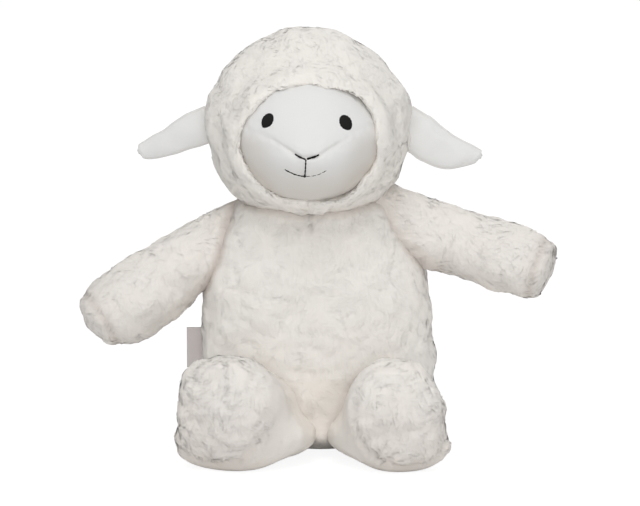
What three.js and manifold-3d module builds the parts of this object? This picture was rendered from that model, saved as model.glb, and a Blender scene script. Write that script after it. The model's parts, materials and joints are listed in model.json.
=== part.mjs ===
// A sitting plush sheep: fleece body, hood, arms and legs, a smooth cloth face and ears.
// Millimetres, +Z up. The sheep faces -Y. The origin is the middle of the flat seat.
// Left and right are those of someone who looks at the sheep's face, so left is -X.
import * as THREE from "three";
import { mergeVertices } from "three/addons/utils/BufferGeometryUtils.js";
import Module from "manifold-3d";

const wasm = await Module();
wasm.setup();

// Cloth and sewing
const fleeceThickness = 3.6;
const smoothClothThickness = 2;
const seamGap = 0.3;
const weldDistance = 0.0005;
// A turning root is faceted, so its pocket is wider than the seam gap by this much.
const pocketSlack = 0.5;

// Body: from the seat to the neck seam, and the widest half sizes
const bodyHeight = 146;
const bodyHalfWidth = 70;
const bodyHalfDepth = 46;
const bodyLean = 6;
const seatFlattening = 0.5;
const baseSeamHeight = 7;
const pouchHalfWidth = 50;
const pouchHalfDepth = 31;
const pouchHeight = 30;

// Head
const headHeight = 111;
const headHalfWidth = 62.4;
const headHalfDepth = 52;
const headShiftLeft = 2;
const headShiftForward = 5;
const headUndersideDepth = 4;

// Neck: the ball of fill, and how far the head can nod about its centre, in degrees
const neckBallRadius = 22;
const nodForwardAngle = 5;
const nodBackAngle = 15;

// Face: an oval dome set in the hood, and its tongue-shaped upper panel. A rise is above the neck.
const faceHalfWidth = 42.5;
const faceHalfHeight = 38;
const faceDomeDepth = 26;
const faceCentreRise = 44;
const faceEdgeForward = 38;
const noseBulge = 5;
const noseBulgeHalfWidth = 24;
const noseBulgeHalfHeight = 18;
const noseTipRise = 39;
const tongueHalfWidth = 43;
const tongueRise = 14;
const faceCentreHeight = bodyHeight + faceCentreRise;
const noseTipHeight = bodyHeight + noseTipRise;

// Embroidery
const threadWidth = 1.3;
const embroideryHeight = 0.8;
const eyeHalfWidth = 3.3;
const eyeHalfHeight = 4.4;
const eyeSpacing = 46;
const eyeRise = 59;
const eyeTiltAngle = 27;
const noseHalfWidth = 7;
const noseRise = 2.6;
const lipLength = 10.5;
const mouthHalfWidth = 11.8;
const mouthRise = 4;

// Ears, with their droop and their sweep back from the sides in degrees
const earLength = 45;
const earThickness = 6;
const earRise = 46;
const earHingeOutset = 1.5;
const earHingeLength = 24;
const leftEar = { side: -1, halfWidth: 11.5, droopAngle: 23.5, sweepAngle: 18 };
const rightEar = { side: 1, halfWidth: 13, droopAngle: 25.5, sweepAngle: 5 };

// Arms: the pivot in the armhole, and the angles of the photographed pose in degrees
const armLength = 87;
const armPadHeight = 2.5;
const leftArm = {
  side: -1, sideways: 57.5, forward: 1, belowNeck: 26.5, dropAngle: 29.7, advanceAngle: 17,
  rootRadius: 23, pawRadius: 24.5,
};
const rightArm = {
  side: 1, sideways: 57, forward: 1, belowNeck: 14, dropAngle: 15.5, advanceAngle: 15,
  rootRadius: 21, pawRadius: 21.8,
};
const armLowAngle = 12;

// Legs: the pivot in the hip seam, the foot's rise towards the sole, and the splay in degrees.
// A foot's lower half sags outwards by the share of its height.
const legLength = 52;
const legRootRadius = 27;
const legHeelRadius = 34;
const solePadHeight = 2.5;
const toeRise = 9.5;
const sagShare = 0.07;
const leftLeg = { side: -1, sideways: 32.5, forward: 45, splayAngle: 21 };
const rightLeg = { side: 1, sideways: 41, forward: 45, splayAngle: 11 };
const legHighAngle = 25;
const legLowAngle = 45;

// Side label: a folded ribbon caught in the left side seam, with its top below the neck
const labelReach = 9;
const labelHeight = 24;
const labelBelowNeck = 76;
const ribbonThickness = 0.5;

// Facets round each form
const bodySides = 30;
const bodyLiningSides = 18;
const limbSides = 18;
const limbLiningSides = 12;
const faceSides = 26;
const faceLiningSides = 16;
const earSides = 12;
const tongueSteps = 20;
const noseSteps = 8;
const mouthSteps = 10;
const ovalSteps = 5;
const foldSteps = 6;
const rootEndSteps = 3;

function cloth(color, roughness) {
  return new THREE.MeshStandardMaterial({ color, roughness, metalness: 0 });
}

const cloths = {
  fleece: cloth(0xdedcd6, 0.98),
  smooth: cloth(0xe8e8e6, 0.9),
  thread: cloth(0x1c1a19, 0.7),
  fill: cloth(0xf4f4f2, 1),
  muslin: cloth(0xe6dcc8, 0.95),
  ribbon: cloth(0xa09890, 0.75),
};

// Solids

// A closed geometry as a solid whose faces point out.
function solidOf(geometry) {
  const bare = geometry.index ? geometry.toNonIndexed() : geometry.clone();
  bare.deleteAttribute("normal");
  bare.deleteAttribute("uv");
  const merged = mergeVertices(bare, weldDistance);
  const corners = Array.from(merged.index.array);
  const faces = [];
  for (let i = 0; i < corners.length; i += 3) {
    const [a, b, c] = corners.slice(i, i + 3);
    if (a !== b && b !== c && c !== a) faces.push(a, b, c);
  }
  const facing = (triangles) =>
    new wasm.Manifold(
      new wasm.Mesh({
        numProp: 3,
        vertProperties: merged.attributes.position.array,
        triVerts: new Uint32Array(triangles),
      }),
    );
  const solid = facing(faces);
  return solid.volume() > 0 ? solid : facing(faces.reverse());
}

function geometryOf(solid) {
  const mesh = solid.getMesh();
  const geometry = new THREE.BufferGeometry();
  geometry.setAttribute("position", new THREE.BufferAttribute(mesh.vertProperties, 3));
  geometry.setIndex(new THREE.BufferAttribute(mesh.triVerts, 1));
  const faceted = geometry.toNonIndexed();
  faceted.computeVertexNormals();
  return faceted;
}

function cut(solid, tools) {
  return tools.reduce((rest, tool) => rest.subtract(tool), solid);
}

// All that lies beyond the plane at this distance along an axis, in the given direction.
function beyond(axis, distance, direction) {
  const reach = 4 * (bodyHeight + headHeight);
  const centre = new THREE.Vector3();
  centre[axis] = distance + (direction * reach) / 2;
  const block = new THREE.BoxGeometry(reach, reach, reach);
  return solidOf(block.translate(centre.x, centre.y, centre.z));
}

// The two sides of a solid at a seam across an axis, apart by the seam gap.
function partedAt(solid, axis, distance) {
  return [-1, 1].map((side) =>
    solid.intersect(beyond(axis, distance + (side * seamGap) / 2, side)),
  );
}

// Profiles and round forms

// A smooth profile through points given as shares of a width and a height.
function profileThrough(shares, width, height) {
  const points = shares.map(([across, up]) => new THREE.Vector2(across * width, up * height));
  const profile = new THREE.SplineCurve(points).getPoints(points.length);
  profile.forEach((point, i) => {
    const end = i === 0 || i === profile.length - 1;
    point.x = end ? 0 : Math.max(point.x, 0);
  });
  return profile;
}

// The profile moved inwards along its normals, with its two ends kept on the axis.
function insetProfile(profile, inset) {
  return profile.map((point, i) => {
    const first = i === 0;
    const last = i === profile.length - 1;
    const along = new THREE.Vector2(first ? 1 : -1, 0);
    if (!first && !last) along.subVectors(profile[i + 1], profile[i - 1]).normalize();
    const across = first || last ? 0 : point.x - along.y * inset;
    return new THREE.Vector2(across, point.y + along.x * inset);
  });
}

// A round form about +Z.
function revolved(profile, sides) {
  return new THREE.LatheGeometry(profile, sides).rotateX(Math.PI / 2);
}

function reshaped(geometry, change) {
  const places = geometry.attributes.position;
  const point = new THREE.Vector3();
  for (let i = 0; i < places.count; i += 1) {
    point.fromBufferAttribute(places, i);
    change(point);
    places.setXYZ(i, point.x, point.y, point.z);
  }
  return geometry;
}

function oval(halfSizes, centre, sides) {
  const form = new THREE.SphereGeometry(1, sides, sides / 2).rotateX(Math.PI / 2);
  return solidOf(form.scale(...halfSizes).translate(...centre));
}

// Limbs: each lies along its own +Z from its pivot, with a domed root behind the pivot

const rootDomeShares = [
  [0, -1], [0.38, -0.925], [0.71, -0.71], [0.925, -0.38],
];

// Radius and distance from the pivot, as shares of the paw's radius and the arm's length.
const armProfileShares = [
  [0.86, 0.22], [0.93, 0.45], [0.99, 0.68], [1, 0.8], [0.93, 0.91], [0.8, 0.965], [0.66, 0.985],
  [0.3, 1.01], [0, 1.02],
];

const legProfileShares = [
  [0.815, 0.22], [0.925, 0.47], [1, 0.67], [0.985, 0.83], [0.92, 0.935], [0.84, 0.975],
  [0.45, 1.01], [0, 1.03],
];

function limbProfile(rootRadius, shares, endRadius, length) {
  const dome = rootDomeShares.map(([across, up]) => [
    (across * rootRadius) / endRadius,
    (up * rootRadius) / length,
  ]);
  return profileThrough([...dome, [rootRadius / endRadius, 0], ...shares], endRadius, length);
}

function armForm(arm, inset, sides) {
  const outer = limbProfile(arm.rootRadius, armProfileShares, arm.pawRadius, armLength);
  return solidOf(revolved(insetProfile(outer, inset), sides));
}

// A leg's form round a profile: it rises towards the sole, and its foot sags outwards.
function legShaped(leg, profile, sides) {
  return solidOf(
    reshaped(revolved(profile, sides), (point) => {
      const along = Math.max(point.z / legLength, 0);
      const sag = leg.side * sagShare * point.y * Math.min(along, 1);
      point.set(point.x - sag, point.y + toeRise * along, point.z);
    }),
  );
}

function legForm(leg, inset, sides) {
  const outer = limbProfile(legRootRadius, legProfileShares, legHeelRadius, legLength);
  return legShaped(leg, insetProfile(outer, inset), sides);
}

const radians = THREE.MathUtils.degToRad;

// The place of a limb: +Z along its direction, +X level, and its origin at the pivot.
function limbPlace(direction, pivot) {
  const level = new THREE.Vector3(0, 0, 1).cross(direction).normalize();
  const up = new THREE.Vector3().crossVectors(direction, level);
  return new THREE.Matrix4().makeBasis(level, up, direction).setPosition(pivot);
}

function armPlace(arm) {
  const drop = radians(arm.dropAngle);
  const advance = radians(arm.advanceAngle);
  const direction = new THREE.Vector3(
    arm.side * Math.cos(drop) * Math.cos(advance),
    -Math.cos(drop) * Math.sin(advance),
    -Math.sin(drop),
  );
  const height = bodyHeight - arm.belowNeck;
  const pivot = new THREE.Vector3(arm.side * arm.sideways, -arm.forward, height);
  return limbPlace(direction, pivot);
}

function legPlace(leg) {
  const splay = radians(leg.splayAngle);
  const direction = new THREE.Vector3(leg.side * Math.sin(splay), -Math.cos(splay), 0);
  const height = legRootRadius - seatFlattening;
  return limbPlace(direction, new THREE.Vector3(leg.side * leg.sideways, -leg.forward, height));
}

function placed(solid, matrix) {
  return solid.transform(matrix.elements);
}

// The matrix after a turn by some degrees about an axis through the matrix's own origin.
function turned(matrix, axis, angle) {
  const pivot = new THREE.Vector3().setFromMatrixPosition(matrix);
  const turn = new THREE.Matrix4().makeRotationAxis(axis, radians(angle));
  const home = new THREE.Matrix4().makeTranslation(pivot);
  const away = new THREE.Matrix4().makeTranslation(pivot.negate());
  return home.multiply(turn).multiply(away).multiply(matrix);
}

// A limb's profile without the tip of its root, grown by the seam gap and closed on the axis.
function tubeProfile(profile, rootRadius) {
  const grown = insetProfile(profile, -seamGap).filter((point) => point.y >= -rootRadius / 2);
  return [new THREE.Vector2(0, grown[0].y), ...grown];
}

// The room that an arm's root needs in the body, from the photographed pose down to its lowest.
function armRoom(arm) {
  const profile = limbProfile(arm.rootRadius, armProfileShares, arm.pawRadius, armLength);
  const tube = solidOf(revolved(tubeProfile(profile, arm.rootRadius), limbSides));
  const fore = new THREE.Vector3(0, -arm.side, 0);
  const place = armPlace(arm);
  const pressed = [0, -armLowAngle].map((angle) => placed(tube, turned(place, fore, angle)));
  const radius = arm.rootRadius + seamGap + pocketSlack;
  const pivot = new THREE.Vector3().setFromMatrixPosition(place);
  return [oval([radius, radius, radius], pivot.toArray(), limbSides), ...pressed];
}

// The room that a leg's root needs in the body, from its highest to its lowest pose.
function legRoom(leg) {
  const profile = limbProfile(legRootRadius, legProfileShares, legHeelRadius, legLength);
  const tube = legShaped(leg, tubeProfile(profile, legRootRadius), limbSides);
  const place = legPlace(leg);
  const level = new THREE.Vector3().setFromMatrixColumn(place, 0);
  const lifts = [legHighAngle, 0, -legLowAngle / 2, -legLowAngle];
  const swung = lifts.map((angle) => placed(tube, turned(place, level, -angle)));
  const radius = legRootRadius + seamGap + pocketSlack;
  const root = oval([radius, radius, radius], [0, 0, 0], limbSides);
  return [placed(root, place), ...swung];
}

// Body

// Half-width and height of the body's outline, as shares, from the seat to above the neck seam.
const bodyProfileShares = [
  [0, 0], [0.45, 0.0006], [0.68, 0.022], [0.86, 0.075], [0.955, 0.165], [1, 0.33],
  [0.995, 0.47], [0.98, 0.61], [0.945, 0.73], [0.855, 0.835], [0.74, 0.93], [0.66, 1],
  [0.4, 1.05], [0, 1.07],
];
const bodySquarenessShare = 2.4;

function bodyForm(inset, sides) {
  const outer = profileThrough(bodyProfileShares, bodyHalfWidth, bodyHeight);
  const depthShare = (bodyHalfDepth - inset) / (bodyHalfWidth - inset);
  return solidOf(
    reshaped(revolved(insetProfile(outer, inset), sides), (point) => {
      const radius = Math.hypot(point.x, point.y) || 1;
      const across = Math.abs(point.x / radius) ** bodySquarenessShare;
      const fore = Math.abs(point.y / radius) ** bodySquarenessShare;
      const fullness = (across + fore || 1) ** (-1 / bodySquarenessShare);
      const lean = bodyLean * (1 - point.z / bodyHeight);
      point.set(point.x * fullness + lean, point.y * fullness * depthShare, point.z - seatFlattening);
    }),
  );
}

const neckCentre = [0, 0, bodyHeight];

function neckBall(growth) {
  const radius = neckBallRadius + growth;
  return oval([radius, radius, radius], neckCentre, bodyLiningSides);
}

const labelMiddleHeight = bodyHeight - labelBelowNeck - labelHeight / 2;
const labelInset = fleeceThickness - 2 * seamGap;

// Where the left side seam lies behind the middle of the label.
function labelEdge() {
  return bodyLean * (1 - labelMiddleHeight / bodyHeight) - bodyHalfWidth;
}

// The slit in the side seam that holds the root of the label.
function labelRoom() {
  const width = 2 * (labelInset + labelReach);
  const thickness = 3 * ribbonThickness + 2 * seamGap;
  const room = new THREE.BoxGeometry(width, thickness, labelHeight + 2 * seamGap);
  return solidOf(room.translate(labelEdge() + labelInset - width / 2, 0, labelMiddleHeight));
}

function makeBody() {
  const rooms = [...[leftArm, rightArm].flatMap(armRoom), ...[leftLeg, rightLeg].flatMap(legRoom)];
  const limbRooms = rooms.reduce((all, room) => all.add(room));
  const floor = beyond("z", 0, -1);
  const aboveNeck = beyond("z", bodyHeight - seamGap / 2, 1);
  const outer = cut(bodyForm(0, bodySides), [floor, aboveNeck]);
  const lining = cut(bodyForm(fleeceThickness, bodyLiningSides), [
    beyond("z", bodyHeight - seamGap / 2 - fleeceThickness, 1),
  ]);
  const skin = cut(outer, [lining, neckBall(seamGap + pocketSlack), limbRooms, labelRoom()]);
  const [base, upper] = partedAt(skin, "z", baseSeamHeight);
  const [front, back] = partedAt(upper, "y", 0);
  const [frontLeft, frontRight] = partedAt(front, "x", 0);
  const [backLeft, backRight] = partedAt(back, "x", 0);
  const inside = cut(bodyForm(fleeceThickness + seamGap, bodyLiningSides), [
    beyond("z", bodyHeight - 1.5 * seamGap - fleeceThickness, 1),
    limbRooms,
    neckBall(seamGap + pocketSlack),
  ]);
  const pouchSizes = [pouchHalfWidth, pouchHalfDepth, pouchHeight];
  const pocketSizes = pouchSizes.map((size) => size + seamGap);
  return {
    body_front_left: [frontLeft, cloths.fleece],
    body_front_right: [frontRight, cloths.fleece],
    body_back_left: [backLeft, cloths.fleece],
    body_back_right: [backRight, cloths.fleece],
    body_base: [base, cloths.fleece],
    body_stuffing: [cut(inside, [oval(pocketSizes, [bodyLean, 0, 0], bodyLiningSides)]), cloths.fill],
    bead_pouch: [inside.intersect(oval(pouchSizes, [bodyLean, 0, 0], bodyLiningSides)), cloths.muslin],
    side_label: [makeLabel(), cloths.ribbon],
    neck_stuffing: [neckBall(0), cloths.fill],
  };
}

// A ribbon folded at its outer end, drawn from above and raised to the label's height.
function makeLabel() {
  const half = 1.5 * ribbonThickness;
  const bore = half - ribbonThickness;
  const inner = labelEdge() + labelInset - seamGap;
  const outer = labelEdge() - labelReach + half;
  const ribbon = new THREE.Shape();
  ribbon.moveTo(inner, half);
  ribbon.lineTo(outer, half);
  ribbon.absarc(outer, 0, half, Math.PI / 2, (3 * Math.PI) / 2);
  ribbon.lineTo(inner, -half);
  ribbon.lineTo(inner, -bore);
  ribbon.lineTo(outer, -bore);
  ribbon.absarc(outer, 0, bore, (3 * Math.PI) / 2, Math.PI / 2, true);
  ribbon.lineTo(inner, bore);
  const options = { depth: labelHeight, bevelEnabled: false, curveSegments: foldSteps };
  const form = new THREE.ExtrudeGeometry(ribbon, options);
  return solidOf(form.translate(0, 0, labelMiddleHeight - labelHeight / 2));
}

// Head

// Half-width and height of the head's outline, as shares, from its underside to the crown.
const headProfileShares = [
  [0, 0], [0.45, 0.015], [0.65, 0.055], [0.79, 0.13], [0.9, 0.245], [0.975, 0.37], [1, 0.48],
  [0.97, 0.6], [0.885, 0.695], [0.79, 0.78], [0.635, 0.865], [0.39, 0.945], [0.2, 0.985], [0, 1],
];

const headBottom = bodyHeight - headUndersideDepth;

function headForm(inset, sides) {
  const outer = profileThrough(headProfileShares, headHalfWidth, headHeight);
  const depthShare = (headHalfDepth - inset) / (headHalfWidth - inset);
  const form = revolved(insetProfile(outer, inset), sides).scale(1, depthShare, 1);
  return solidOf(form.translate(-headShiftLeft, -headShiftForward, headBottom));
}

// The room under the head, whose front and back slope so that the head can nod.
function roomUnderHead(margin) {
  const low = bodyHeight + seamGap / 2 + margin;
  const reach = 2 * headHalfWidth;
  const outline = new THREE.Shape();
  outline.moveTo(0, low);
  outline.lineTo(reach, low + reach * Math.tan(radians(nodBackAngle)));
  outline.lineTo(reach, low - reach);
  outline.lineTo(-reach, low - reach);
  outline.lineTo(-reach, low + reach * Math.tan(radians(nodForwardAngle)));
  const options = { depth: 2 * reach, bevelEnabled: false };
  const wedge = new THREE.ExtrudeGeometry(outline, options).translate(0, 0, -reach);
  // The outline's x becomes y, and its y becomes z.
  const turn = new THREE.Matrix4().set(0, 0, 1, 0, 1, 0, 0, 0, 0, 1, 0, 0, 0, 0, 0, 1);
  return solidOf(wedge.applyMatrix4(turn));
}

function faceForm(inset, sides) {
  const form = new THREE.SphereGeometry(1, sides, sides / 2);
  form.scale(faceHalfWidth - inset, faceDomeDepth - inset, faceHalfHeight - inset);
  form.translate(-headShiftLeft, -headShiftForward - faceEdgeForward, faceCentreHeight);
  reshaped(form, (point) => {
    const across = (point.x + headShiftLeft) / noseBulgeHalfWidth;
    const up = (point.z - noseTipHeight) / noseBulgeHalfHeight;
    const ahead = point.y < -headShiftForward - faceEdgeForward;
    if (ahead) point.y -= noseBulge * Math.exp(-across * across - up * up);
  });
  return solidOf(form);
}

// Points given as shares of a half-width and a rise, from a middle point on the face.
function faceCurve(shares, halfWidth, rise, height) {
  const points = shares.map(
    ([across, up]) => new THREE.Vector2(across * halfWidth - headShiftLeft, up * rise + height),
  );
  return new THREE.SplineCurve(points);
}

// A flat shape seen from the front, made as deep as the head and facing forwards.
function projected(shape) {
  const options = { depth: 2 * headHalfDepth, bevelEnabled: false, curveSegments: ovalSteps };
  return solidOf(new THREE.ExtrudeGeometry(shape, options).rotateX(Math.PI / 2));
}

const tongueShares = [
  [-1, 1], [-0.72, 0.9], [-0.5, 0.66], [-0.3, 0.35], [-0.15, 0.1], [0, 0],
  [0.15, 0.1], [0.3, 0.35], [0.5, 0.66], [0.72, 0.9], [1, 1],
];

// What lies below the seam of the upper face panel.
function belowTongue(gap) {
  const curve = faceCurve(tongueShares, tongueHalfWidth, tongueRise, noseTipHeight - gap);
  const seam = curve.getPoints(tongueSteps);
  const low = faceCentreHeight - 2 * faceHalfHeight;
  const right = seam[seam.length - 1].x;
  const left = seam[0].x;
  const outline = [...seam, new THREE.Vector2(right, low), new THREE.Vector2(left, low)];
  return projected(new THREE.Shape(outline));
}

// A stroke of thread of even width along a curve on the face.
function stroke(curve, steps) {
  const points = curve.getPoints(steps);
  const edge = (side) =>
    points.map((point, i) => {
      const before = points[Math.max(i - 1, 0)];
      const after = points[Math.min(i + 1, steps)];
      const along = new THREE.Vector2().subVectors(after, before).normalize();
      const half = (side * threadWidth) / 2;
      return new THREE.Vector2(point.x - along.y * half, point.y + along.x * half);
    });
  return projected(new THREE.Shape([...edge(1), ...edge(-1).reverse()]));
}

function eyeShape(side) {
  const eye = new THREE.Shape();
  const across = -headShiftLeft + (side * eyeSpacing) / 2;
  const tilt = side * radians(eyeTiltAngle);
  const height = bodyHeight + eyeRise;
  eye.absellipse(across, height, eyeHalfWidth, eyeHalfHeight, 0, 2 * Math.PI, false, tilt);
  return projected(eye);
}

const noseShares = [[-1, 1], [-0.45, 0.3], [0, 0], [0.45, 0.3], [1, 1]];
const mouthShares = [[-1, 1], [-0.5, 0.35], [0, 0], [0.5, 0.35], [1, 1]];

function makeEmbroidery() {
  const noseHeight = noseTipHeight - threadWidth;
  const mouthHeight = noseHeight - lipLength;
  const lipTop = noseHeight - threadWidth / 2 - seamGap;
  const lipBottom = mouthHeight + threadWidth / 2 + seamGap;
  const lip = new THREE.LineCurve(
    new THREE.Vector2(-headShiftLeft, lipTop),
    new THREE.Vector2(-headShiftLeft, lipBottom),
  );
  const nose = faceCurve(noseShares, noseHalfWidth, noseRise, noseHeight);
  const mouth = faceCurve(mouthShares, mouthHalfWidth, mouthRise, mouthHeight);
  const ground = faceForm(-seamGap, faceSides);
  const raised = faceForm(-seamGap - embroideryHeight, faceSides).subtract(ground);
  const front = beyond("y", -headShiftForward - faceEdgeForward, -1);
  const stitched = (tool) => [raised.intersect(front).intersect(tool), cloths.thread];
  return {
    left_eye: stitched(eyeShape(-1)),
    right_eye: stitched(eyeShape(1)),
    nose_stitch: stitched(stroke(nose, noseSteps)),
    lip_stitch: stitched(stroke(lip, 1)),
    mouth_stitch: stitched(stroke(mouth, mouthSteps)),
  };
}

// The place of an ear: its origin on the upright hinge, and its own x axis swept back.
function earPlace(ear) {
  const across = ear.side * (headHalfWidth + earHingeOutset) - headShiftLeft;
  const sweep = new THREE.Matrix4().makeRotationZ(ear.side * radians(ear.sweepAngle));
  return sweep.setPosition(across, -headShiftForward, bodyHeight + earRise);
}

// The rolled root of an ear, an upright rod with round ends, about the hinge.
function earRoot(growth) {
  const radius = earThickness / 2 + growth;
  const rod = new THREE.CapsuleGeometry(radius, earHingeLength - earThickness, rootEndSteps, earSides);
  return solidOf(rod.rotateX(Math.PI / 2));
}

// Half-width and distance from the root of the ear's leaf, as shares.
const earProfileShares = [
  [0, -0.2], [0.8, -0.12], [0.97, 0.05], [1, 0.2], [0.96, 0.42], [0.83, 0.64], [0.62, 0.82],
  [0.38, 0.94], [0, 1],
];

// The front and back cloth of an ear, each with its half of the rolled root.
function makeEar(ear) {
  const profile = profileThrough(earProfileShares, ear.halfWidth, earLength);
  const leaf = revolved(profile, earSides).scale(1, earThickness / (2 * ear.halfWidth), 1);
  leaf.rotateY(ear.side * (Math.PI / 2 + radians(ear.droopAngle)));
  const blade = solidOf(leaf).intersect(beyond("x", 0, ear.side));
  const layers = partedAt(blade.add(earRoot(0)), "y", 0);
  return layers.map((layer) => placed(layer, earPlace(ear)));
}

function makeHead() {
  const underside = roomUnderHead(0);
  const groove = earRoot(seamGap + pocketSlack);
  const grooves = [leftEar, rightEar].map((ear) => placed(groove, earPlace(ear)));
  const lining = headForm(fleeceThickness, bodyLiningSides).subtract(roomUnderHead(fleeceThickness));
  const hood = cut(headForm(0, bodySides), [
    underside, lining, neckBall(seamGap + pocketSlack), faceForm(-seamGap, faceSides), ...grooves,
  ]);
  const [hoodLeft, hoodRight] = partedAt(hood, "x", -headShiftLeft);
  const rim = -headShiftForward - faceEdgeForward;
  const dome = faceForm(0, faceSides).subtract(faceForm(smoothClothThickness, faceLiningSides));
  const face = dome.intersect(beyond("y", rim, -1));
  const faceRoom = faceForm(-seamGap, faceSides).intersect(beyond("y", rim + seamGap, -1));
  const inside = headForm(fleeceThickness + seamGap, bodyLiningSides);
  const stuffing = cut(inside, [
    roomUnderHead(fleeceThickness + seamGap), faceRoom, neckBall(seamGap + pocketSlack),
  ]);
  const faceFill = faceForm(smoothClothThickness + seamGap, faceLiningSides);
  const [leftEarFront, leftEarBack] = makeEar(leftEar);
  const [rightEarFront, rightEarBack] = makeEar(rightEar);
  return {
    hood_left: [hoodLeft, cloths.fleece],
    hood_right: [hoodRight, cloths.fleece],
    face_upper: [face.subtract(belowTongue(0)), cloths.smooth],
    face_muzzle: [face.intersect(belowTongue(seamGap)), cloths.smooth],
    head_stuffing: [stuffing.add(faceFill), cloths.fill],
    ...makeEmbroidery(),
    left_ear_front: [leftEarFront, cloths.smooth],
    left_ear_back: [leftEarBack, cloths.smooth],
    right_ear_front: [rightEarFront, cloths.smooth],
    right_ear_back: [rightEarBack, cloths.smooth],
  };
}

// Arms and legs

// A limb's sleeve, its end pad and its fill. The pad is the sleeve's far end, past a seam.
function makeLimb(formAt, length, padHeight, matrix) {
  const skin = formAt(0, limbSides).subtract(formAt(fleeceThickness, limbLiningSides));
  const [sleeve, pad] = partedAt(skin, "z", length - padHeight);
  const floor = beyond("z", 0, -1);
  const fill = formAt(fleeceThickness + seamGap, limbLiningSides);
  return [sleeve, pad, fill].map((piece) =>
    placed(piece, matrix).subtract(floor),
  );
}

function makeArm(arm, name) {
  const formAt = (inset, sides) => armForm(arm, inset, sides);
  const [sleeve, pad, fill] = makeLimb(formAt, armLength, armPadHeight, armPlace(arm));
  return {
    [`${name}_arm`]: [sleeve, cloths.fleece],
    [`${name}_paw`]: [pad, cloths.fleece],
    [`${name}_arm_stuffing`]: [fill, cloths.fill],
  };
}

function makeLeg(leg, name) {
  const formAt = (inset, sides) => legForm(leg, inset, sides);
  const [sleeve, pad, fill] = makeLimb(formAt, legLength, solePadHeight, legPlace(leg));
  return {
    [`${name}_leg`]: [sleeve, cloths.fleece],
    [`${name}_sole`]: [pad, cloths.fleece],
    [`${name}_leg_stuffing`]: [fill, cloths.fill],
  };
}

const pieces = {
  ...makeBody(),
  ...makeHead(),
  ...makeArm(leftArm, "left"),
  ...makeArm(rightArm, "right"),
  ...makeLeg(leftLeg, "left"),
  ...makeLeg(rightLeg, "right"),
};

const sheep = new THREE.Group();
for (const [name, [solid, material]] of Object.entries(pieces)) {
  const mesh = new THREE.Mesh(geometryOf(solid), material);
  mesh.name = name;
  sheep.add(mesh);
}

export default sheep;
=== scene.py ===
"""A sitting plush sheep in cream fleece with a smooth cloth face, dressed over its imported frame."""
import json
import math

import bmesh
import bpy
import numpy as np
from bpy.props import FloatProperty, FloatVectorProperty, PointerProperty
from mathutils import Matrix, Vector
from mathutils.bvhtree import BVHTree


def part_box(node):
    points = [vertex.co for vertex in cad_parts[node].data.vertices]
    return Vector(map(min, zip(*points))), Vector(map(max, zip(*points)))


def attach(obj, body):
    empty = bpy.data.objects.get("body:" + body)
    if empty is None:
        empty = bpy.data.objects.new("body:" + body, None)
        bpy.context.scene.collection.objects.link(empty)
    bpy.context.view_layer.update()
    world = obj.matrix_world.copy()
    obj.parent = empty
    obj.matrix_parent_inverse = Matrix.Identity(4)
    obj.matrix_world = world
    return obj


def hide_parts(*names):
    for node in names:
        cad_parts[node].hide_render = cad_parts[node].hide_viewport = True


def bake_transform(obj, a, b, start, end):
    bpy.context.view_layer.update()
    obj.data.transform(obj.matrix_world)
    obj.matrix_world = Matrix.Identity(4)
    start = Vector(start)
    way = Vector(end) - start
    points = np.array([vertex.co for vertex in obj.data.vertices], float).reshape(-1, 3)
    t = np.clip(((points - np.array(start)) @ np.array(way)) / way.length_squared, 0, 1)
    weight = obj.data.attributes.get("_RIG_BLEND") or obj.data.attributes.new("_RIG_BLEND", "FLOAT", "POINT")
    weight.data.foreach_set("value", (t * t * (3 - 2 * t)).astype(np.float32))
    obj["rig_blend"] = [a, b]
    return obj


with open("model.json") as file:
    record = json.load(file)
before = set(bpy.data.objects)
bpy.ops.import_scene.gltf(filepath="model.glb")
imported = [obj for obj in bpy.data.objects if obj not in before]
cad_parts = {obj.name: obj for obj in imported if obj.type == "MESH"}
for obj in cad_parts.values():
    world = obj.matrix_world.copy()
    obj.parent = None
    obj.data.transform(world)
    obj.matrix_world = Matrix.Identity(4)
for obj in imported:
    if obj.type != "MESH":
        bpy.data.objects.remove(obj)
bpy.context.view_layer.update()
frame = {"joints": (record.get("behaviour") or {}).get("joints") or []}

bl_info = {
    "name": "Plush Sheep",
    "version": (1, 0, 0),
    "blender": (4, 5, 0),
    "location": "3D View > Sidebar > Sheep",
    "description": "Dresses a plush sheep's frame in fleece, cloth and thread",
    "category": "Object",
}

MM = 0.001
JOINTS = {joint["name"]: joint for joint in frame["joints"]}


# Settings

class FormSizes(bpy.types.PropertyGroup):
    """Main sizes of the stuffed forms."""

    body_height: FloatProperty(
        name="Body height", description="From the seat to the neck seam",
        default=146 * MM, unit="LENGTH")
    body_half_width: FloatProperty(
        name="Body half width", description="Widest half width of the body",
        default=70 * MM, unit="LENGTH")
    body_half_depth: FloatProperty(
        name="Body half depth", description="Deepest half depth of the body",
        default=46 * MM, unit="LENGTH")
    body_lean: FloatProperty(
        name="Body lean", description="How far the seat sits to the right of the neck",
        default=6 * MM, unit="LENGTH")
    head_height: FloatProperty(
        name="Head height", description="From the underside to the crown",
        default=111 * MM, unit="LENGTH")
    head_half_width: FloatProperty(
        name="Head half width", description="Widest half width of the hood",
        default=61.9 * MM, unit="LENGTH")
    head_half_depth: FloatProperty(
        name="Head half depth", description="Deepest half depth of the hood",
        default=52 * MM, unit="LENGTH")
    face_half_width: FloatProperty(
        name="Face half width", description="Half width of the cloth face",
        default=41.5 * MM, unit="LENGTH")
    face_half_height: FloatProperty(
        name="Face half height", description="Half height of the cloth face",
        default=37 * MM, unit="LENGTH")
    face_depth: FloatProperty(
        name="Face depth", description="How far the face stands out of the hood",
        default=26 * MM, unit="LENGTH")
    arm_length: FloatProperty(
        name="Arm length", description="From the shoulder to the paw seam",
        default=87 * MM, unit="LENGTH")
    leg_length: FloatProperty(
        name="Leg length", description="From the hip to the sole seam",
        default=52 * MM, unit="LENGTH")


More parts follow.
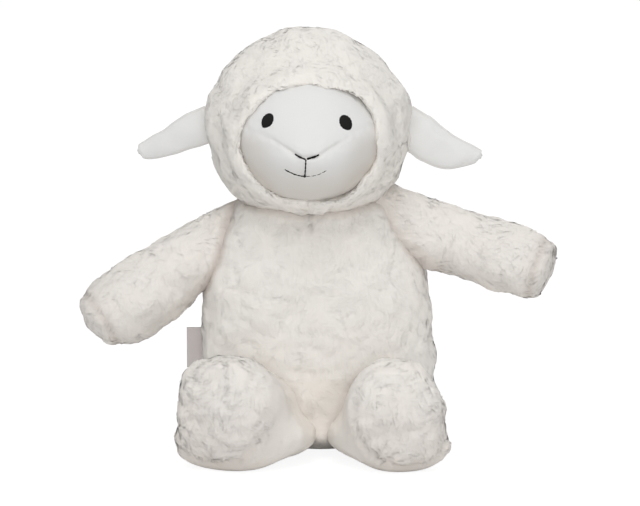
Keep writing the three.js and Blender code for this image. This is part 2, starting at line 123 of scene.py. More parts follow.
class FleeceLook(bpy.types.PropertyGroup):
    """The fleece's pile and colours."""

    colour: FloatVectorProperty(
        name="Pile colour", description="Colour of the tips of the pile",
        subtype="COLOR", size=3, default=(0.88, 0.86, 0.825), min=0, max=1)
    # Painted shade: the colour the pile takes between the tufts, at the roots of the locks and wherever
    # painted shade is stored.
    depth_shade_colour: FloatVectorProperty(
        name="Depth colour", description="Colour between the tufts and in the creases",
        subtype="COLOR", size=3, default=(0.84, 0.75, 0.68), min=0, max=1)
    # Painted shade where two pieces meet, in the armpits, under the arms, on the soles and along the seams.
    crease_shade_colour: FloatVectorProperty(
        name="Crease colour", description="Colour of the pile where two pieces meet",
        subtype="COLOR", size=3, default=(0.60, 0.53, 0.485), min=0, max=1)
    lock_length: FloatProperty(
        name="Lock length", description="Length of one lock of the pile",
        default=7 * MM, unit="LENGTH")
    lock_half_width: FloatProperty(
        name="Lock half width", description="Half width of one lock where it is widest",
        default=0.8 * MM, unit="LENGTH")
    lock_spacing: FloatProperty(
        name="Lock spacing", description="Distance between the roots of the locks",
        default=2.2 * MM, unit="LENGTH")
    lock_lift: FloatProperty(
        name="Lock lift", description="How far a lock's tip stands off the cloth",
        default=0.24 * MM, unit="LENGTH")
    voxel: FloatProperty(
        name="Cloth mesh", description="Mesh size of the stuffed cloth", default=4 * MM, unit="LENGTH")
    swell: FloatProperty(
        name="Swell", description="Most that the filling moves the cloth", default=4 * MM, unit="LENGTH")


class FaceLook(bpy.types.PropertyGroup):
    """The face's cloth, seam and threads."""

    colour: FloatVectorProperty(
        name="Cloth colour", description="Colour of the smooth cloth",
        subtype="COLOR", size=3, default=(0.80, 0.802, 0.796), min=0, max=1)
    # Painted shade on the face and ears, in the seams, round the rim, under the muzzle and on the cheeks; it
    # also gives the nap its random tone.
    shade_and_nap_colour: FloatVectorProperty(
        name="Seam colour", description="Colour of the cloth where it is drawn into a seam",
        subtype="COLOR", size=3, default=(0.62, 0.58, 0.53), min=0, max=1)
    thread_colour: FloatVectorProperty(
        name="Thread colour", description="Colour of the embroidery",
        subtype="COLOR", size=3, default=(0.003, 0.0028, 0.0025), min=0, max=1)
    ribbon_colour: FloatVectorProperty(
        name="Ribbon colour", description="Colour of the side label",
        subtype="COLOR", size=3, default=(0.72, 0.67, 0.66), min=0, max=1)
    seam_depth: FloatProperty(
        name="Seam depth", description="Depth of the seam under the upper panel",
        default=1.1 * MM, unit="LENGTH")
    thread: FloatProperty(
        name="Thread", description="Half width of a nose stitch", default=0.62 * MM, unit="LENGTH")


class StageLook(bpy.types.PropertyGroup):
    """Camera and light."""

    distance: FloatProperty(
        name="Distance", description="From the camera to the sheep", default=2.5, unit="LENGTH")
    elevation: FloatProperty(
        name="Elevation", description="Angle of the camera above the floor",
        default=math.radians(10), subtype="ANGLE")
    view_width: FloatProperty(
        name="View width", description="Width that the picture shows at the sheep",
        default=0.384, unit="LENGTH")
    aim: FloatVectorProperty(
        name="Aim", description="Point in the middle of the picture",
        subtype="XYZ", size=3, default=(4.8 * MM, 0, 115.4 * MM))
    sky: FloatProperty(
        name="Sky", description="Strength of the light from all round", default=0.41)
    key_power: FloatProperty(
        name="Key power", description="Power of the lamp above and in front", default=27, unit="POWER")


# Points and meshes

def points_of(piece):
    """A piece's vertices as rows of x, y, z."""
    places = np.empty(len(piece.data.vertices) * 3)
    piece.data.vertices.foreach_get("co", places)
    return places.reshape(-1, 3)


def normals_of(piece):
    """The directions in which a piece's vertices face."""
    facing = np.empty(len(piece.data.vertices) * 3, np.float32)
    piece.data.vertex_normals.foreach_get("vector", facing)
    return facing.reshape(-1, 3).astype(float)


def move_points(piece, points):
    """Puts a piece's vertices at new places."""
    piece.data.vertices.foreach_set("co", np.ascontiguousarray(points, np.float32).ravel())
    piece.data.update()


def keep_value(piece, name, values):
    """Stores one number for each vertex, for the materials to read."""
    attribute = piece.data.attributes.new(name, "FLOAT", "POINT")
    attribute.data.foreach_set("value", np.asarray(values, np.float32))


def raise_value(piece, name, values):
    """Raises a stored number to these values where they are higher."""
    attributes = piece.data.attributes
    attribute = attributes.get(name) or attributes.new(name, "FLOAT", "POINT")
    kept = np.zeros(len(values), np.float32)
    attribute.data.foreach_get("value", kept)
    attribute.data.foreach_set("value", np.maximum(kept, np.asarray(values, np.float32)))


def ramp(values, low, high):
    """0 below low, 1 above high, and smooth between."""
    share = np.clip((values - low) / (high - low), 0, 1)
    return share * share * (3 - 2 * share)


def bell(distance, width):
    """1 at no distance, falling smoothly to nothing past the width."""
    return np.exp(-((distance / width) ** 2))


def wobble(points, wavelength, seed):
    """Smooth noise of unit spread, whose bumps have about this wavelength."""
    chance = np.random.default_rng(seed)
    count = 24
    waves = chance.normal(size=(count, 3))
    waves *= 2 * np.pi / wavelength / np.linalg.norm(waves, axis=1, keepdims=True)
    waves *= chance.uniform(0.6, 1.5, (count, 1))
    return np.sin(points @ waves.T + chance.uniform(0, 2 * np.pi, count)).sum(1) / np.sqrt(count / 2)


def spline(points, steps):
    """A smooth curve through the given points, with some steps between each two."""
    knots = np.array(points, float)
    padded = np.vstack([knots[:1], knots, knots[-1:]])
    made = []
    for before, start, end, after in zip(padded, padded[1:], padded[2:], padded[3:]):
        for t in np.linspace(0, 1, steps, endpoint=False):
            leave, arrive = (end - before) / 2, (after - start) / 2
            made.append(
                (2 * start - 2 * end + leave + arrive) * t**3
                + (3 * end - 3 * start - 2 * leave - arrive) * t**2
                + leave * t + start
            )
    return np.array([*made, knots[-1]])


def revolved(profile, radius, height, segments=96):
    """A closed round form about Z, through points that are shares of a radius and a height."""
    form = bmesh.new()
    curve = spline(profile, 6) * (radius, height)
    line = [form.verts.new((max(out, 0), 0, up)) for out, up in curve]
    edges = [form.edges.new(pair) for pair in zip(line, line[1:])]
    bmesh.ops.spin(
        form, geom=line + edges, cent=(0, 0, 0), axis=(0, 0, 1), angle=2 * math.pi,
        steps=segments, use_merge=True)
    bmesh.ops.remove_doubles(form, verts=form.verts, dist=1e-6)
    bmesh.ops.recalc_face_normals(form, faces=form.faces)
    return form


def piece_from(form, name):
    """A smooth object from a finished bmesh, which is freed."""
    mesh = bpy.data.meshes.new(name)
    form.to_mesh(mesh)
    form.free()
    piece = bpy.data.objects.new(name, mesh)
    bpy.context.scene.collection.objects.link(piece)
    mesh.shade_smooth()
    return piece


def with_modifier(piece, kind, **settings):
    """The piece with one modifier's result as its mesh."""
    modifier = piece.modifiers.new(kind.title(), kind)
    for name, value in settings.items():
        setattr(modifier, name, value)
    evaluated = piece.evaluated_get(bpy.context.evaluated_depsgraph_get())
    made = bpy.data.meshes.new_from_object(evaluated)
    piece.modifiers.clear()
    plain, piece.data = piece.data, made
    made.name = piece.name
    bpy.data.meshes.remove(plain)
    made.shade_smooth()
    return piece


# Cloth

CLOTH_PRESSURE = 4
CLOTH_FRAMES = 20


def stuffed(piece, held, cap):
    """Swells the closed cloth by its filling. Held points stay, and none moves past the cap."""
    before = points_of(piece)
    pins = piece.vertex_groups.new(name="seams")
    for index, weight in enumerate(held):
        pins.add([index], float(weight), "REPLACE")
    cloth = piece.modifiers.new("Cloth", "CLOTH")
    cloth.settings.vertex_group_mass = pins.name
    cloth.settings.use_pressure = True
    cloth.settings.uniform_pressure_force = CLOTH_PRESSURE
    cloth.settings.effector_weights.gravity = 0
    cloth.point_cache.frame_start = 1
    cloth.point_cache.frame_end = CLOTH_FRAMES
    for step in range(1, CLOTH_FRAMES + 1):
        bpy.context.scene.frame_set(step)
    evaluated = piece.evaluated_get(bpy.context.evaluated_depsgraph_get())
    after = np.empty(before.size)
    evaluated.data.vertices.foreach_get("co", after)
    piece.modifiers.clear()
    piece.vertex_groups.clear()
    bpy.context.scene.frame_set(1)
    moved = after.reshape(-1, 3) - before
    length = np.linalg.norm(moved, axis=1, keepdims=True)
    move_points(piece, before + moved * np.minimum(1, cap / np.maximum(length, 1e-9)))


def sewn(form, name, look, held):
    """A piece of evenly meshed cloth from a form, swollen by its filling. Held gives several shares
    for each point, and the highest says how firmly it stays."""
    piece = with_modifier(piece_from(form, name), "REMESH", mode="VOXEL", voxel_size=look.voxel)
    stuffed(piece, np.maximum.reduce(held(points_of(piece))), look.swell)
    return with_modifier(piece, "SUBSURF", levels=1, render_levels=1)


SWIRL_SIZE = 26 * MM
TUFT_SIZE = 15 * MM
LUMP_SIZE = 24 * MM
LUMP_HEIGHT = 0.45 * MM
LOCK_WIDTHS = [(0, 0.6), (0.33, 1), (0.67, 0.75), (1, 0.12)]
LOCK_LIFTS = [(0, -0.8), (0.33, 0.5), (0.67, 0.8), (1, 1)]
SOFTNESS = 0.92


def brushed(normals, points, seed):
    """Which way the pile lies: mostly down, in slow swirls."""
    swirl = np.stack([wobble(points, SWIRL_SIZE, seed + i) for i in range(3)], axis=1)
    way = np.array([0, 0, -0.8]) + 0.9 * swirl
    way -= normals * (way * normals).sum(1, keepdims=True)
    return way / np.maximum(np.linalg.norm(way, axis=1, keepdims=True), 1e-9)


def lock_mesh():
    """One lock of the pile: a four-sided blade from 0 to 1 along Z, 1 wide on each side."""
    form = bmesh.new()
    bmesh.ops.create_cone(form, cap_ends=True, segments=4, radius1=1, radius2=1, depth=1)
    bmesh.ops.translate(form, vec=(0, 0, 0.5), verts=form.verts)
    for share, _ in LOCK_WIDTHS[1:-1]:
        whole = form.verts[:] + form.edges[:] + form.faces[:]
        bmesh.ops.bisect_plane(form, geom=whole, plane_co=(0, 0, share), plane_no=(0, 0, 1))
    mesh = bpy.data.meshes.new("lock")
    form.to_mesh(mesh)
    form.free()
    return mesh


def nearest_cloth(form, points):
    """The nearest places on a form's surface, and the face that each is on."""
    tree = BVHTree.FromBMesh(form)
    found = [tree.find_nearest(point) for point in points.reshape(-1, 3)]
    places = np.array([place for place, _, _, _ in found]).reshape(points.shape)
    return places, np.array([face for _, _, face, _ in found]).reshape(points.shape[:-1])


def shaded_as_cloth(piece, cloth, first):
    """Lets the locks, whose vertices start at the first, take their light almost as the cloth under
    them does. Their edges are sharp, since a thin lock otherwise loses this where the piece bends."""
    ends = np.empty(len(piece.data.edges) * 2, int)
    piece.data.edges.foreach_get("vertices", ends)
    sharp = piece.data.attributes.new("sharp_edge", "BOOLEAN", "EDGE")
    sharp.data.foreach_set("value", ends[::2] >= first)
    soft = SOFTNESS * cloth + (1 - SOFTNESS) * normals_of(piece)
    piece.data.normals_split_custom_set_from_vertices(soft / np.linalg.norm(soft, axis=1, keepdims=True))


def fleeced(piece, look, seed, relief, length=None):
    """Covers a piece with lumps and locks of pile. Relief is the share of full tufts, and length
    gives each point's share of full pile."""
    chance = np.random.default_rng(seed)
    points, normals = points_of(piece), normals_of(piece)
    share = np.ones(len(points)) if length is None else length(points)
    tufts = np.abs(wobble(points, TUFT_SIZE, seed + 11))
    lumps = LUMP_HEIGHT * wobble(points, LUMP_SIZE, seed + 10)
    lumps += relief * MM * (np.minimum(tufts, 1.5) - 0.8)
    points += normals * (lumps * share)[:, None]
    move_points(piece, points)
    normals = normals_of(piece)

    # One root in each cell of a grid, and the way from it over the cloth, ring by ring
    order = chance.permutation(len(points))
    cells = np.floor(points[order] / look.lock_spacing).astype(int)
    roots = order[np.unique(cells, axis=0, return_index=True)[1]]
    roots = roots[share[roots] > 0.05]
    full = share[roots, None]
    single = lock_mesh()
    across, thick, along = np.array([vertex.co for vertex in single.vertices]).T

    def spread(low, high):
        return chance.uniform(low, high, (len(roots), 1))

    way = brushed(normals[roots], points[roots], seed)
    turn = chance.normal(0, 0.4, (len(roots), 1))
    way = way * np.cos(turn) + np.cross(normals[roots], way) * np.sin(turn)
    span = look.lock_length * spread(0.6, 1.25) * full
    stations, station = np.unique(along.round(4), return_inverse=True)
    route = points[roots, None] + (span * stations)[:, :, None] * way[:, None]
    form = bmesh.new()
    form.from_mesh(piece.data)
    form.verts.ensure_lookup_table()
    form.faces.ensure_lookup_table()
    route, faces = nearest_cloth(form, route)
    corner = np.array([face.verts[0].index for face in form.faces])
    facing = normals[corner[faces]][:, station]
    for _ in roots:
        form.from_mesh(single)
    form.to_mesh(piece.data)
    form.free()
    bpy.data.meshes.remove(single)

    width = np.interp(along, *zip(*LOCK_WIDTHS))
    stand = np.interp(along, *zip(*LOCK_LIFTS))
    half_width = look.lock_half_width * spread(0.7, 1.3) * (0.4 + 0.6 * full)
    sideways = half_width * width * across + span * spread(-0.3, 0.3) * along**2
    upward = look.lock_lift * (0.25 * width * thick + stand * spread(0.3, 1.3) * relief) * full
    side = np.cross(normals[roots], way)[:, None]
    places = route[:, station] + sideways[:, :, None] * side + upward[:, :, None] * facing
    everywhere = points_of(piece)
    everywhere[len(points):] = places.reshape(-1, 3)
    move_points(piece, everywhere)
    piece.data.shade_smooth()
    shaded_as_cloth(piece, np.concatenate([normals, facing.reshape(-1, 3)]), len(points))
    height = np.concatenate([np.full(len(points), 0.1), np.tile(0.35 + 0.65 * along, len(roots))])
    strand = sideways + spread(0, 1)
    keep_value(piece, "pile", height)
    keep_value(piece, "comb", np.concatenate([np.zeros(len(points)), strand.ravel()]))


def shaded_in_creases(piece, reach, most):
    """Paints shade into the pile of a piece and of the body where they meet."""
    body = bpy.data.objects["body_fleece"]
    depsgraph = bpy.context.evaluated_depsgraph_get()
    trees = [BVHTree.FromObject(other, depsgraph) for other in (body, piece)]
    for darker, tree in zip((piece, body), trees):
        gaps = [tree.find_nearest(point, reach)[3] for point in points_of(darker)]
        gaps = np.array([reach if gap is None else gap for gap in gaps])
        raise_value(darker, "crease_shade", most * (1 - ramp(gaps, 0, reach)))


def carved(piece, depth):
    """Draws a piece's surface in by a depth for each point."""
    points, normals = points_of(piece), normals_of(piece)
    move_points(piece, points - normals * depth(points)[:, None])


FLOOR_GAP = 1.2 * MM


def rested(piece):
    """Flattens whatever would lie below the floor."""
    points = points_of(piece)
    low = points[:, 2] < FLOOR_GAP
    points[low, 2] = FLOOR_GAP * np.exp(np.clip((points[low, 2] - FLOOR_GAP) / FLOOR_GAP, -6, 0))
    move_points(piece, points)


# Materials

class Value:
    """One output socket of a material. Arithmetic on it adds Math nodes."""

    def __init__(self, finish, socket):
        self.finish = finish
        self.socket = socket

    def _math(self, operation, first, second):
        return self.finish.add("Math", {"operation": operation}, {0: first, 1: second})

    def __add__(self, other):
        return self._math("ADD", self, other)

    def __sub__(self, other):
        return self._math("SUBTRACT", self, other)

    def __mul__(self, other):
        return self._math("MULTIPLY", self, other)

    def __rsub__(self, other):
        return self._math("SUBTRACT", other, self)

    __radd__ = __add__
    __rmul__ = __mul__


class Finish:
    """The nodes of a material or a world under construction."""

    def __init__(self, owner):
        owner.use_nodes = True
        self.owner = owner
        self.tree = owner.node_tree
        self.tree.nodes.clear()

    def add(self, kind, settings=None, sockets=None, output=0):
        """A new node of one kind: its settings first, then its sockets. Gives one of its outputs."""
        node = self.tree.nodes.new("ShaderNode" + kind)
        for name, value in (settings or {}).items():
            setattr(node, name, value)
        for key, value in (sockets or {}).items():
            named = [socket for socket in node.inputs if socket.identifier == key]
            socket = named[0] if named else node.inputs[key]
            if isinstance(value, Value):
                self.tree.links.new(value.socket, socket)
            else:
                socket.default_value = value
        return Value(self, node.outputs[output]) if node.outputs else None

    def mix(self, factor, first, second):
        """One colour passing into another."""
        return self.add(
            "Mix", {"data_type": "RGBA"},
            {"Factor_Float": factor, "A_Color": first, "B_Color": second}, output=2)

    def stored(self, name):
        """A number stored on the piece's vertices."""
        return self.add("Attribute", {"attribute_name": name}, output="Fac")

    def place(self):
        """Where on the piece the shader is."""
        return self.add("TexCoord", output="Object")

    def noise(self, scale, detail, **sockets):
        """Noise over the piece."""
        sockets = {"Vector": self.place(), "Scale": scale, "Detail": detail, **sockets}
        return self.add("TexNoise", None, sockets)

    def fibres(self, scale, detail, **sockets):
        """Noise across the strands, which are numbered on the piece's vertices."""
        sockets = {"W": self.stored("comb"), "Scale": scale, "Detail": detail, **sockets}
        return self.add("TexNoise", {"noise_dimensions": "1D"}, sockets)

    def wave(self, direction, scale):
        """Even bands over the piece."""
        settings = {"wave_type": "BANDS", "bands_direction": direction}
        return self.add("TexWave", settings, {"Vector": self.place(), "Scale": scale})

    def bump(self, strength, distance, height):
        """Small relief that only the light shows."""
        return self.add("Bump", None, {"Strength": strength, "Distance": distance, "Height": height})

    def surface(self, **sockets):
        """Ends the material with a shader that has these sockets."""
        named = {name.replace("_", " "): value for name, value in sockets.items()}
        shader = self.add("BsdfPrincipled", None, named)
        self.add("OutputMaterial", None, {"Surface": shader})
        return self.owner


def opaque(colour, scale=(1, 1, 1)):
    """A colour for a socket, with each channel scaled."""
    return (*(channel * share for channel, share in zip(colour, scale)), 1)


def fleece_finish(look):
    """Brushed fleece: paler tips, painted warm shade in the depths between the tufts and in the creases, and
    fine fibres along each tuft.
    """
    finish = Finish(bpy.data.materials.new("sheep_fleece"))
    patches = finish.noise(38, 2)
    wisps = finish.noise(420, 3, Roughness=0.6, Distortion=1.2)
    fibres = finish.fibres(2600, 2, Roughness=0.7)
    height = finish.stored("pile") * 0.55 + wisps * 0.5 + fibres * 0.35
    tipped = finish.add(
        "MapRange", {"interpolation_type": "SMOOTHSTEP"},
        {"Value": height, "From Min": 0.32, "From Max": 0.95})
    # Painted shade: the roots of the locks, the cloth between them and the stored painted shade draw the pile
    # towards the depth colour.
    depth_shade = (1 - tipped) * 0.14 + finish.stored("painted_shade") * 0.4
    warm = finish.mix(patches, opaque(look.colour), opaque(look.colour, (1, 0.985, 0.96)))
    colour = finish.mix(depth_shade, warm, opaque(look.depth_shade_colour))
    # Painted shade where pieces meet, in the armpits, under the arms and on the soles.
    colour = finish.mix(finish.stored("crease_shade"), colour, opaque(look.crease_shade_colour))
    return finish.surface(
        Base_Color=colour, Roughness=0.95, Normal=finish.bump(0.38, 0.5 * MM, wisps * 0.7 + fibres * 0.6),
        Sheen_Weight=0.1, Sheen_Roughness=0.6, Specular_IOR_Level=0.1)


def cloth_finish(look):
    """Smooth short-pile cloth with a fine nap, darkened by the painted shade stored on each piece."""
    finish = Finish(bpy.data.materials.new("sheep_smooth_cloth"))
    nap = finish.noise(1500, 2, Roughness=0.7)
    cloudy = finish.noise(60, 3)
    # Painted shade stored on the piece, together with the random tone of the cloud and the nap, draws the
    # cloth towards the darker colour.
    shade = finish.stored("painted_shade") + (1 - cloudy) * 0.06 + (1 - nap) * 0.08
    colour = finish.mix(shade, opaque(look.colour), opaque(look.shade_and_nap_colour))
    return finish.surface(
        Base_Color=colour, Roughness=0.9, Normal=finish.bump(0.25, 0.25 * MM, nap + cloudy * 0.8),
        Sheen_Weight=0.3, Sheen_Roughness=0.5, Specular_IOR_Level=0.15)


def thread_finish(look):
    """Black embroidery floss with the gloss of its strands."""
    finish = Finish(bpy.data.materials.new("sheep_thread"))
    strands = finish.fibres(3500, 1)
    colour = finish.mix(strands, opaque(look.thread_colour), opaque(look.thread_colour, (3.2, 3.2, 3.2)))
    return finish.surface(
        Base_Color=colour, Roughness=0.55 + strands * 0.2, Normal=finish.bump(0.6, 0.2 * MM, strands),
        Specular_IOR_Level=0.15)


def ribbon_finish(look):
    """Woven ribbon with fine cross ribs."""
    finish = Finish(bpy.data.materials.new("sheep_ribbon"))
    threads = finish.wave("Z", 500) * 0.6 + finish.wave("X", 420) * 0.4
    colour = finish.mix(
        threads * 0.35, opaque(look.ribbon_colour), opaque(look.ribbon_colour, (0.72, 0.72, 0.72)))
    return finish.surface(
        Base_Color=colour, Roughness=0.6, Normal=finish.bump(0.5, 0.12 * MM, threads), Sheen_Weight=0.1)


def material(name):
    """One of the sheep's materials, made when it is first asked for."""
    scene = bpy.context.scene
    makers = {
        "fleece": lambda: fleece_finish(scene.sheep_fleece),
        "smooth_cloth": lambda: cloth_finish(scene.sheep_face),
        "thread": lambda: thread_finish(scene.sheep_face),
        "ribbon": lambda: ribbon_finish(scene.sheep_face),
    }
    return bpy.data.materials.get("sheep_" + name) or makers[name]()


def finished(piece, slot, nodes, body=None):
    """Gives a piece its material, hides the nodes that it stands for and says what it rides on."""
    piece.data.materials.clear()
    piece.data.materials.append(material(slot))
    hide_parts(*nodes)
    if body:
        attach(piece, body)
    return piece


# Forms. Profiles are shares of a width and a height, and run from the bottom to the top.

BODY_PROFILE = [
    (0, 0), (0.45, 0.0006), (0.68, 0.022), (0.86, 0.075), (0.955, 0.165), (1, 0.33), (0.995, 0.47),
    (0.98, 0.61), (0.945, 0.73), (0.855, 0.835), (0.74, 0.93), (0.66, 1), (0.4, 1.05), (0, 1.07),
]
BODY_SQUARENESS = 2.4
HEAD_PROFILE = [
    (0, 0), (0.45, 0.015), (0.65, 0.055), (0.79, 0.13), (0.9, 0.245), (0.975, 0.37), (1, 0.48),
    (0.97, 0.6), (0.885, 0.695), (0.79, 0.78), (0.635, 0.865), (0.39, 0.945), (0.2, 0.985), (0, 1),
]
HEAD_BOTTOM = 142 * MM
HEAD_CENTRE = Vector((-2 * MM, -5 * MM, 0))
FACE_CENTRE = Vector((-2 * MM, -43 * MM, 190 * MM))
OPENING_CENTRE = Vector((-1 * MM, -43 * MM, 190.6 * MM))
OPENING_SHARE = 0.925
NOSE_HEIGHT = 185 * MM
NECK_RADIUS = 24 * MM
SEAM_FULL = 2 * MM


def body_form(sizes):
    """The body: a rounded trapeze from the front, a soft square from above."""
    form = revolved(BODY_PROFILE, sizes.body_half_width, sizes.body_height)
    depth_share = sizes.body_half_depth / sizes.body_half_width
    for vertex in form.verts:
        x, y, z = vertex.co
        radius = math.hypot(x, y) or 1
        fullness = abs(x / radius) ** BODY_SQUARENESS + abs(y / radius) ** BODY_SQUARENESS
        grow = (fullness or 1) ** (-1 / BODY_SQUARENESS)
        lean = sizes.body_lean * (1 - z / sizes.body_height)
        vertex.co = (x * grow + lean, y * grow * depth_share, z)
    return form


def head_form(sizes):
    """The hood: an egg that is widest at the ears."""
    form = revolved(HEAD_PROFILE, sizes.head_half_width, sizes.head_height)
    depth_share = sizes.head_half_depth / sizes.head_half_width
    bmesh.ops.scale(form, vec=(1, depth_share, 1), verts=form.verts)
    bmesh.ops.translate(form, vec=HEAD_CENTRE + Vector((0, 0, HEAD_BOTTOM)), verts=form.verts)
    for vertex in form.verts:
        vertex.co.x -= 1 * MM * float(ramp(vertex.co.z, 200 * MM, 245 * MM))
    return form


def face_distance(points, sizes):
    """How far out of the face's oval each point is, seen from the front: 1 on the rim."""
    across = (points[:, 0] - FACE_CENTRE.x) / sizes.face_half_width
    up = (points[:, 2] - FACE_CENTRE.z) / sizes.face_half_height
    return np.hypot(across, up)


def opening_distance(points, sizes):
    """How far out of the hood's uneven opening each point is, seen from the front: 1 on its edge."""
    across = (points[:, 0] - OPENING_CENTRE.x) / (sizes.face_half_width * OPENING_SHARE)
    up = (points[:, 2] - OPENING_CENTRE.z) / (sizes.face_half_height * OPENING_SHARE)
    return np.hypot(across, up) + 0.018 * wobble(points * (1, 0, 1), 22 * MM, 71)


def above_floor(points):
    """Shares of full pile that leave the underside short."""
    return ramp(points[:, 2], 1 * MM, 8 * MM)


class SHEEP_OT_body(bpy.types.Operator):
    """Sews and stuffs the body"""

    bl_idname = "sheep.body"
    bl_label = "Body"

    def execute(self, context):
        sizes, look = context.scene.sheep_sizes, context.scene.sheep_fleece
        piece = sewn(body_form(sizes), "body_fleece", look, lambda points: self.held(points, sizes))
        points = points_of(piece)
        between = bell(points[:, 0] - 5 * MM, 12 * MM) * ramp(-points[:, 1], 10 * MM, 25 * MM)
        points[:, 1] -= 9 * MM * between * bell(points[:, 2] - 11 * MM, 8 * MM)
        move_points(piece, points)
        carved(piece, self.seams)
        fleeced(piece, look, seed=3, relief=0.6, length=above_floor)
        rested(piece)
        points = points_of(piece)
        x, y, z = points.T
        # Painted shade in the crotch and along the seams, and darker crease shade in the crotch where the
        # legs meet the body.
        crotch = bell(np.hypot(x - 6 * MM, (z - 22 * MM) * 0.7), 26 * MM)
        keep_value(piece, "painted_shade", 0.3 * crotch * (y < 0) + 0.3 * self.seams(points) / SEAM_FULL)
        keep_value(piece, "crease_shade", 0.22 * bell(np.hypot(x - 5 * MM, z - 14 * MM), 12 * MM) * (y < 0))
        nodes = [
            "body_front_left", "body_front_right", "body_back_left", "body_back_right", "body_base",
            "body_stuffing", "bead_pouch",
        ]
        finished(piece, "fleece", nodes, "body")
        return {"FINISHED"}

    @staticmethod
    def held(points, sizes):
        """Where the cloth stays: at the side seams, the base seam, the neck and the floor."""
        _, y, z = points.T
        return [
            bell(y, 3 * MM) * ramp(z, 4 * MM, 12 * MM), bell(z - 6 * MM, 3 * MM),
            ramp(z, sizes.body_height - 12 * MM, sizes.body_height - 4 * MM), 1 - ramp(z, 1 * MM, 4 * MM),
        ]

    @staticmethod
    def seams(points):
        """Depth of the centre seams, side seams, base seam and the dart under the chin."""
        x, y, z = points.T
        upright = ramp(z, 6 * MM, 14 * MM)
        centre = 0.5 * MM * bell(x - 1 * MM, 2.5 * MM) * upright
        side = 1.2 * MM * bell(y, 3 * MM) * upright
        base = 1.2 * MM * bell(z - 6 * MM, 2.5 * MM)
        dart = 2.2 * MM * bell(x + 1 * MM, 2 * MM) * ramp(z, 124 * MM, 140 * MM) * (y < 0)
        return np.maximum.reduce([centre, side, base, dart])


class SHEEP_OT_neck(bpy.types.Operator):
    """Fills the neck between the body and the hood"""

    bl_idname = "sheep.neck"
    bl_label = "Neck"

    def execute(self, context):
        look = context.scene.sheep_fleece
        form = bmesh.new()
        bmesh.ops.create_icosphere(form, subdivisions=5, radius=NECK_RADIUS)
        bmesh.ops.translate(form, vec=JOINTS["head_turn"]["pos_m"], verts=form.verts)
        piece = piece_from(form, "neck_fleece")
        fleeced(piece, look, seed=21, relief=0.6)
        # Painted shade over the whole neck, which sits under the hood.
        keep_value(piece, "painted_shade", np.full(len(piece.data.vertices), 0.15))
        finished(piece, "fleece", ["neck_stuffing"], "neck")
        return {"FINISHED"}


class SHEEP_OT_hood(bpy.types.Operator):
    """Sews and stuffs the hood round the face"""

    bl_idname = "sheep.hood"
    bl_label = "Hood"

    def execute(self, context):
        sizes, look = context.scene.sheep_sizes, context.scene.sheep_fleece
        piece = sewn(head_form(sizes), "hood_fleece", look, lambda points: self.held(points, sizes))
        self.open_for_face(piece, sizes)
        carved(piece, self.seams)
        fleeced(piece, look, seed=5, relief=0.52, length=lambda points: self.beside_face(points, sizes))
        points = points_of(piece)
        # Painted shade round the face's opening, under the chin and along the seams, and crease shade where
        # the hood meets the body.
        rim = np.abs(opening_distance(points, sizes) - 0.97) + (points[:, 1] > HEAD_CENTRE.y)
        chin = (1 - ramp(points[:, 2], 146 * MM, 166 * MM)) * (points[:, 1] < 0)
        shade = np.maximum(0.4 * bell(rim, 0.06), 0.25 * chin)
        keep_value(piece, "painted_shade", shade + 0.3 * self.seams(points) / SEAM_FULL)
        shaded_in_creases(piece, 6 * MM, 0.4)
        nodes = ["hood_left", "hood_right", "head_stuffing"]
        finished(piece, "fleece", nodes, "head")
        return {"FINISHED"}

    @staticmethod
    def held(points, sizes):
        """Where the cloth stays: behind the face, at the centre seam and at the neck."""
        x, y, z = points.T
        return [
            (1 - ramp(opening_distance(points, sizes), 0.95, 1.1)) * (y < HEAD_CENTRE.y),
            bell(x - HEAD_CENTRE.x, 3 * MM), 1 - ramp(z, HEAD_BOTTOM + 4 * MM, HEAD_BOTTOM + 12 * MM),
        ]

    @staticmethod
    def beside_face(points, sizes):
        """Shares of full pile: none behind the face, and shorter at its edge."""
        behind = ramp(points[:, 1], -30 * MM, -20 * MM)
        return np.maximum(ramp(opening_distance(points, sizes), 0.84, 0.97), behind)

    @staticmethod
    def open_for_face(piece, sizes):
        """Sinks the hood behind the face and rolls its edge up round it."""
        points = points_of(piece)
        distance = opening_distance(points, sizes)
        front = ramp(-points[:, 1], 10 * MM, 30 * MM)
        sunk = 20 * MM * (1 - ramp(distance, 0.84, 0.92)) * front
        lower = 1 - 0.3 * ramp(points[:, 2], 200 * MM, 225 * MM)
        roll = 9 * MM * (1 - ramp(distance, 1.0, 1.4)) * front * lower
        points[:, 1] += sunk
        move_points(piece, points + normals_of(piece) * roll[:, None])

    @staticmethod
    def seams(points):
        """Depth of the centre seam, which shows under the chin and down the back."""
        x, y, z = points.T
        shown = 1 - ramp(z, 152 * MM, 172 * MM) * (y < 0) * 0.95
        return 1.8 * MM * bell(x - HEAD_CENTRE.x, 2.6 * MM) * shown


TONGUE = [
    (-1, 1), (-0.72, 0.9), (-0.5, 0.66), (-0.3, 0.35), (-0.15, 0.1), (0, 0),
    (0.15, 0.1), (0.3, 0.35), (0.5, 0.66), (0.72, 0.9), (1, 1),
]
TONGUE_HALF_WIDTH = 43 * MM
TONGUE_RISE = 14 * MM


def tongue_drop(points):
    """How far each point is above the seam of the upper face panel, seen from the front."""
    curve = spline(TONGUE, 8) * (TONGUE_HALF_WIDTH, TONGUE_RISE) + (FACE_CENTRE.x, NOSE_HEIGHT)
    height = np.interp(points[:, 0], curve[:, 0], curve[:, 1])
    slope = np.interp(points[:, 0], curve[:, 0], np.gradient(curve[:, 1], curve[:, 0]))
    return (points[:, 2] - height) / np.sqrt(1 + slope**2)


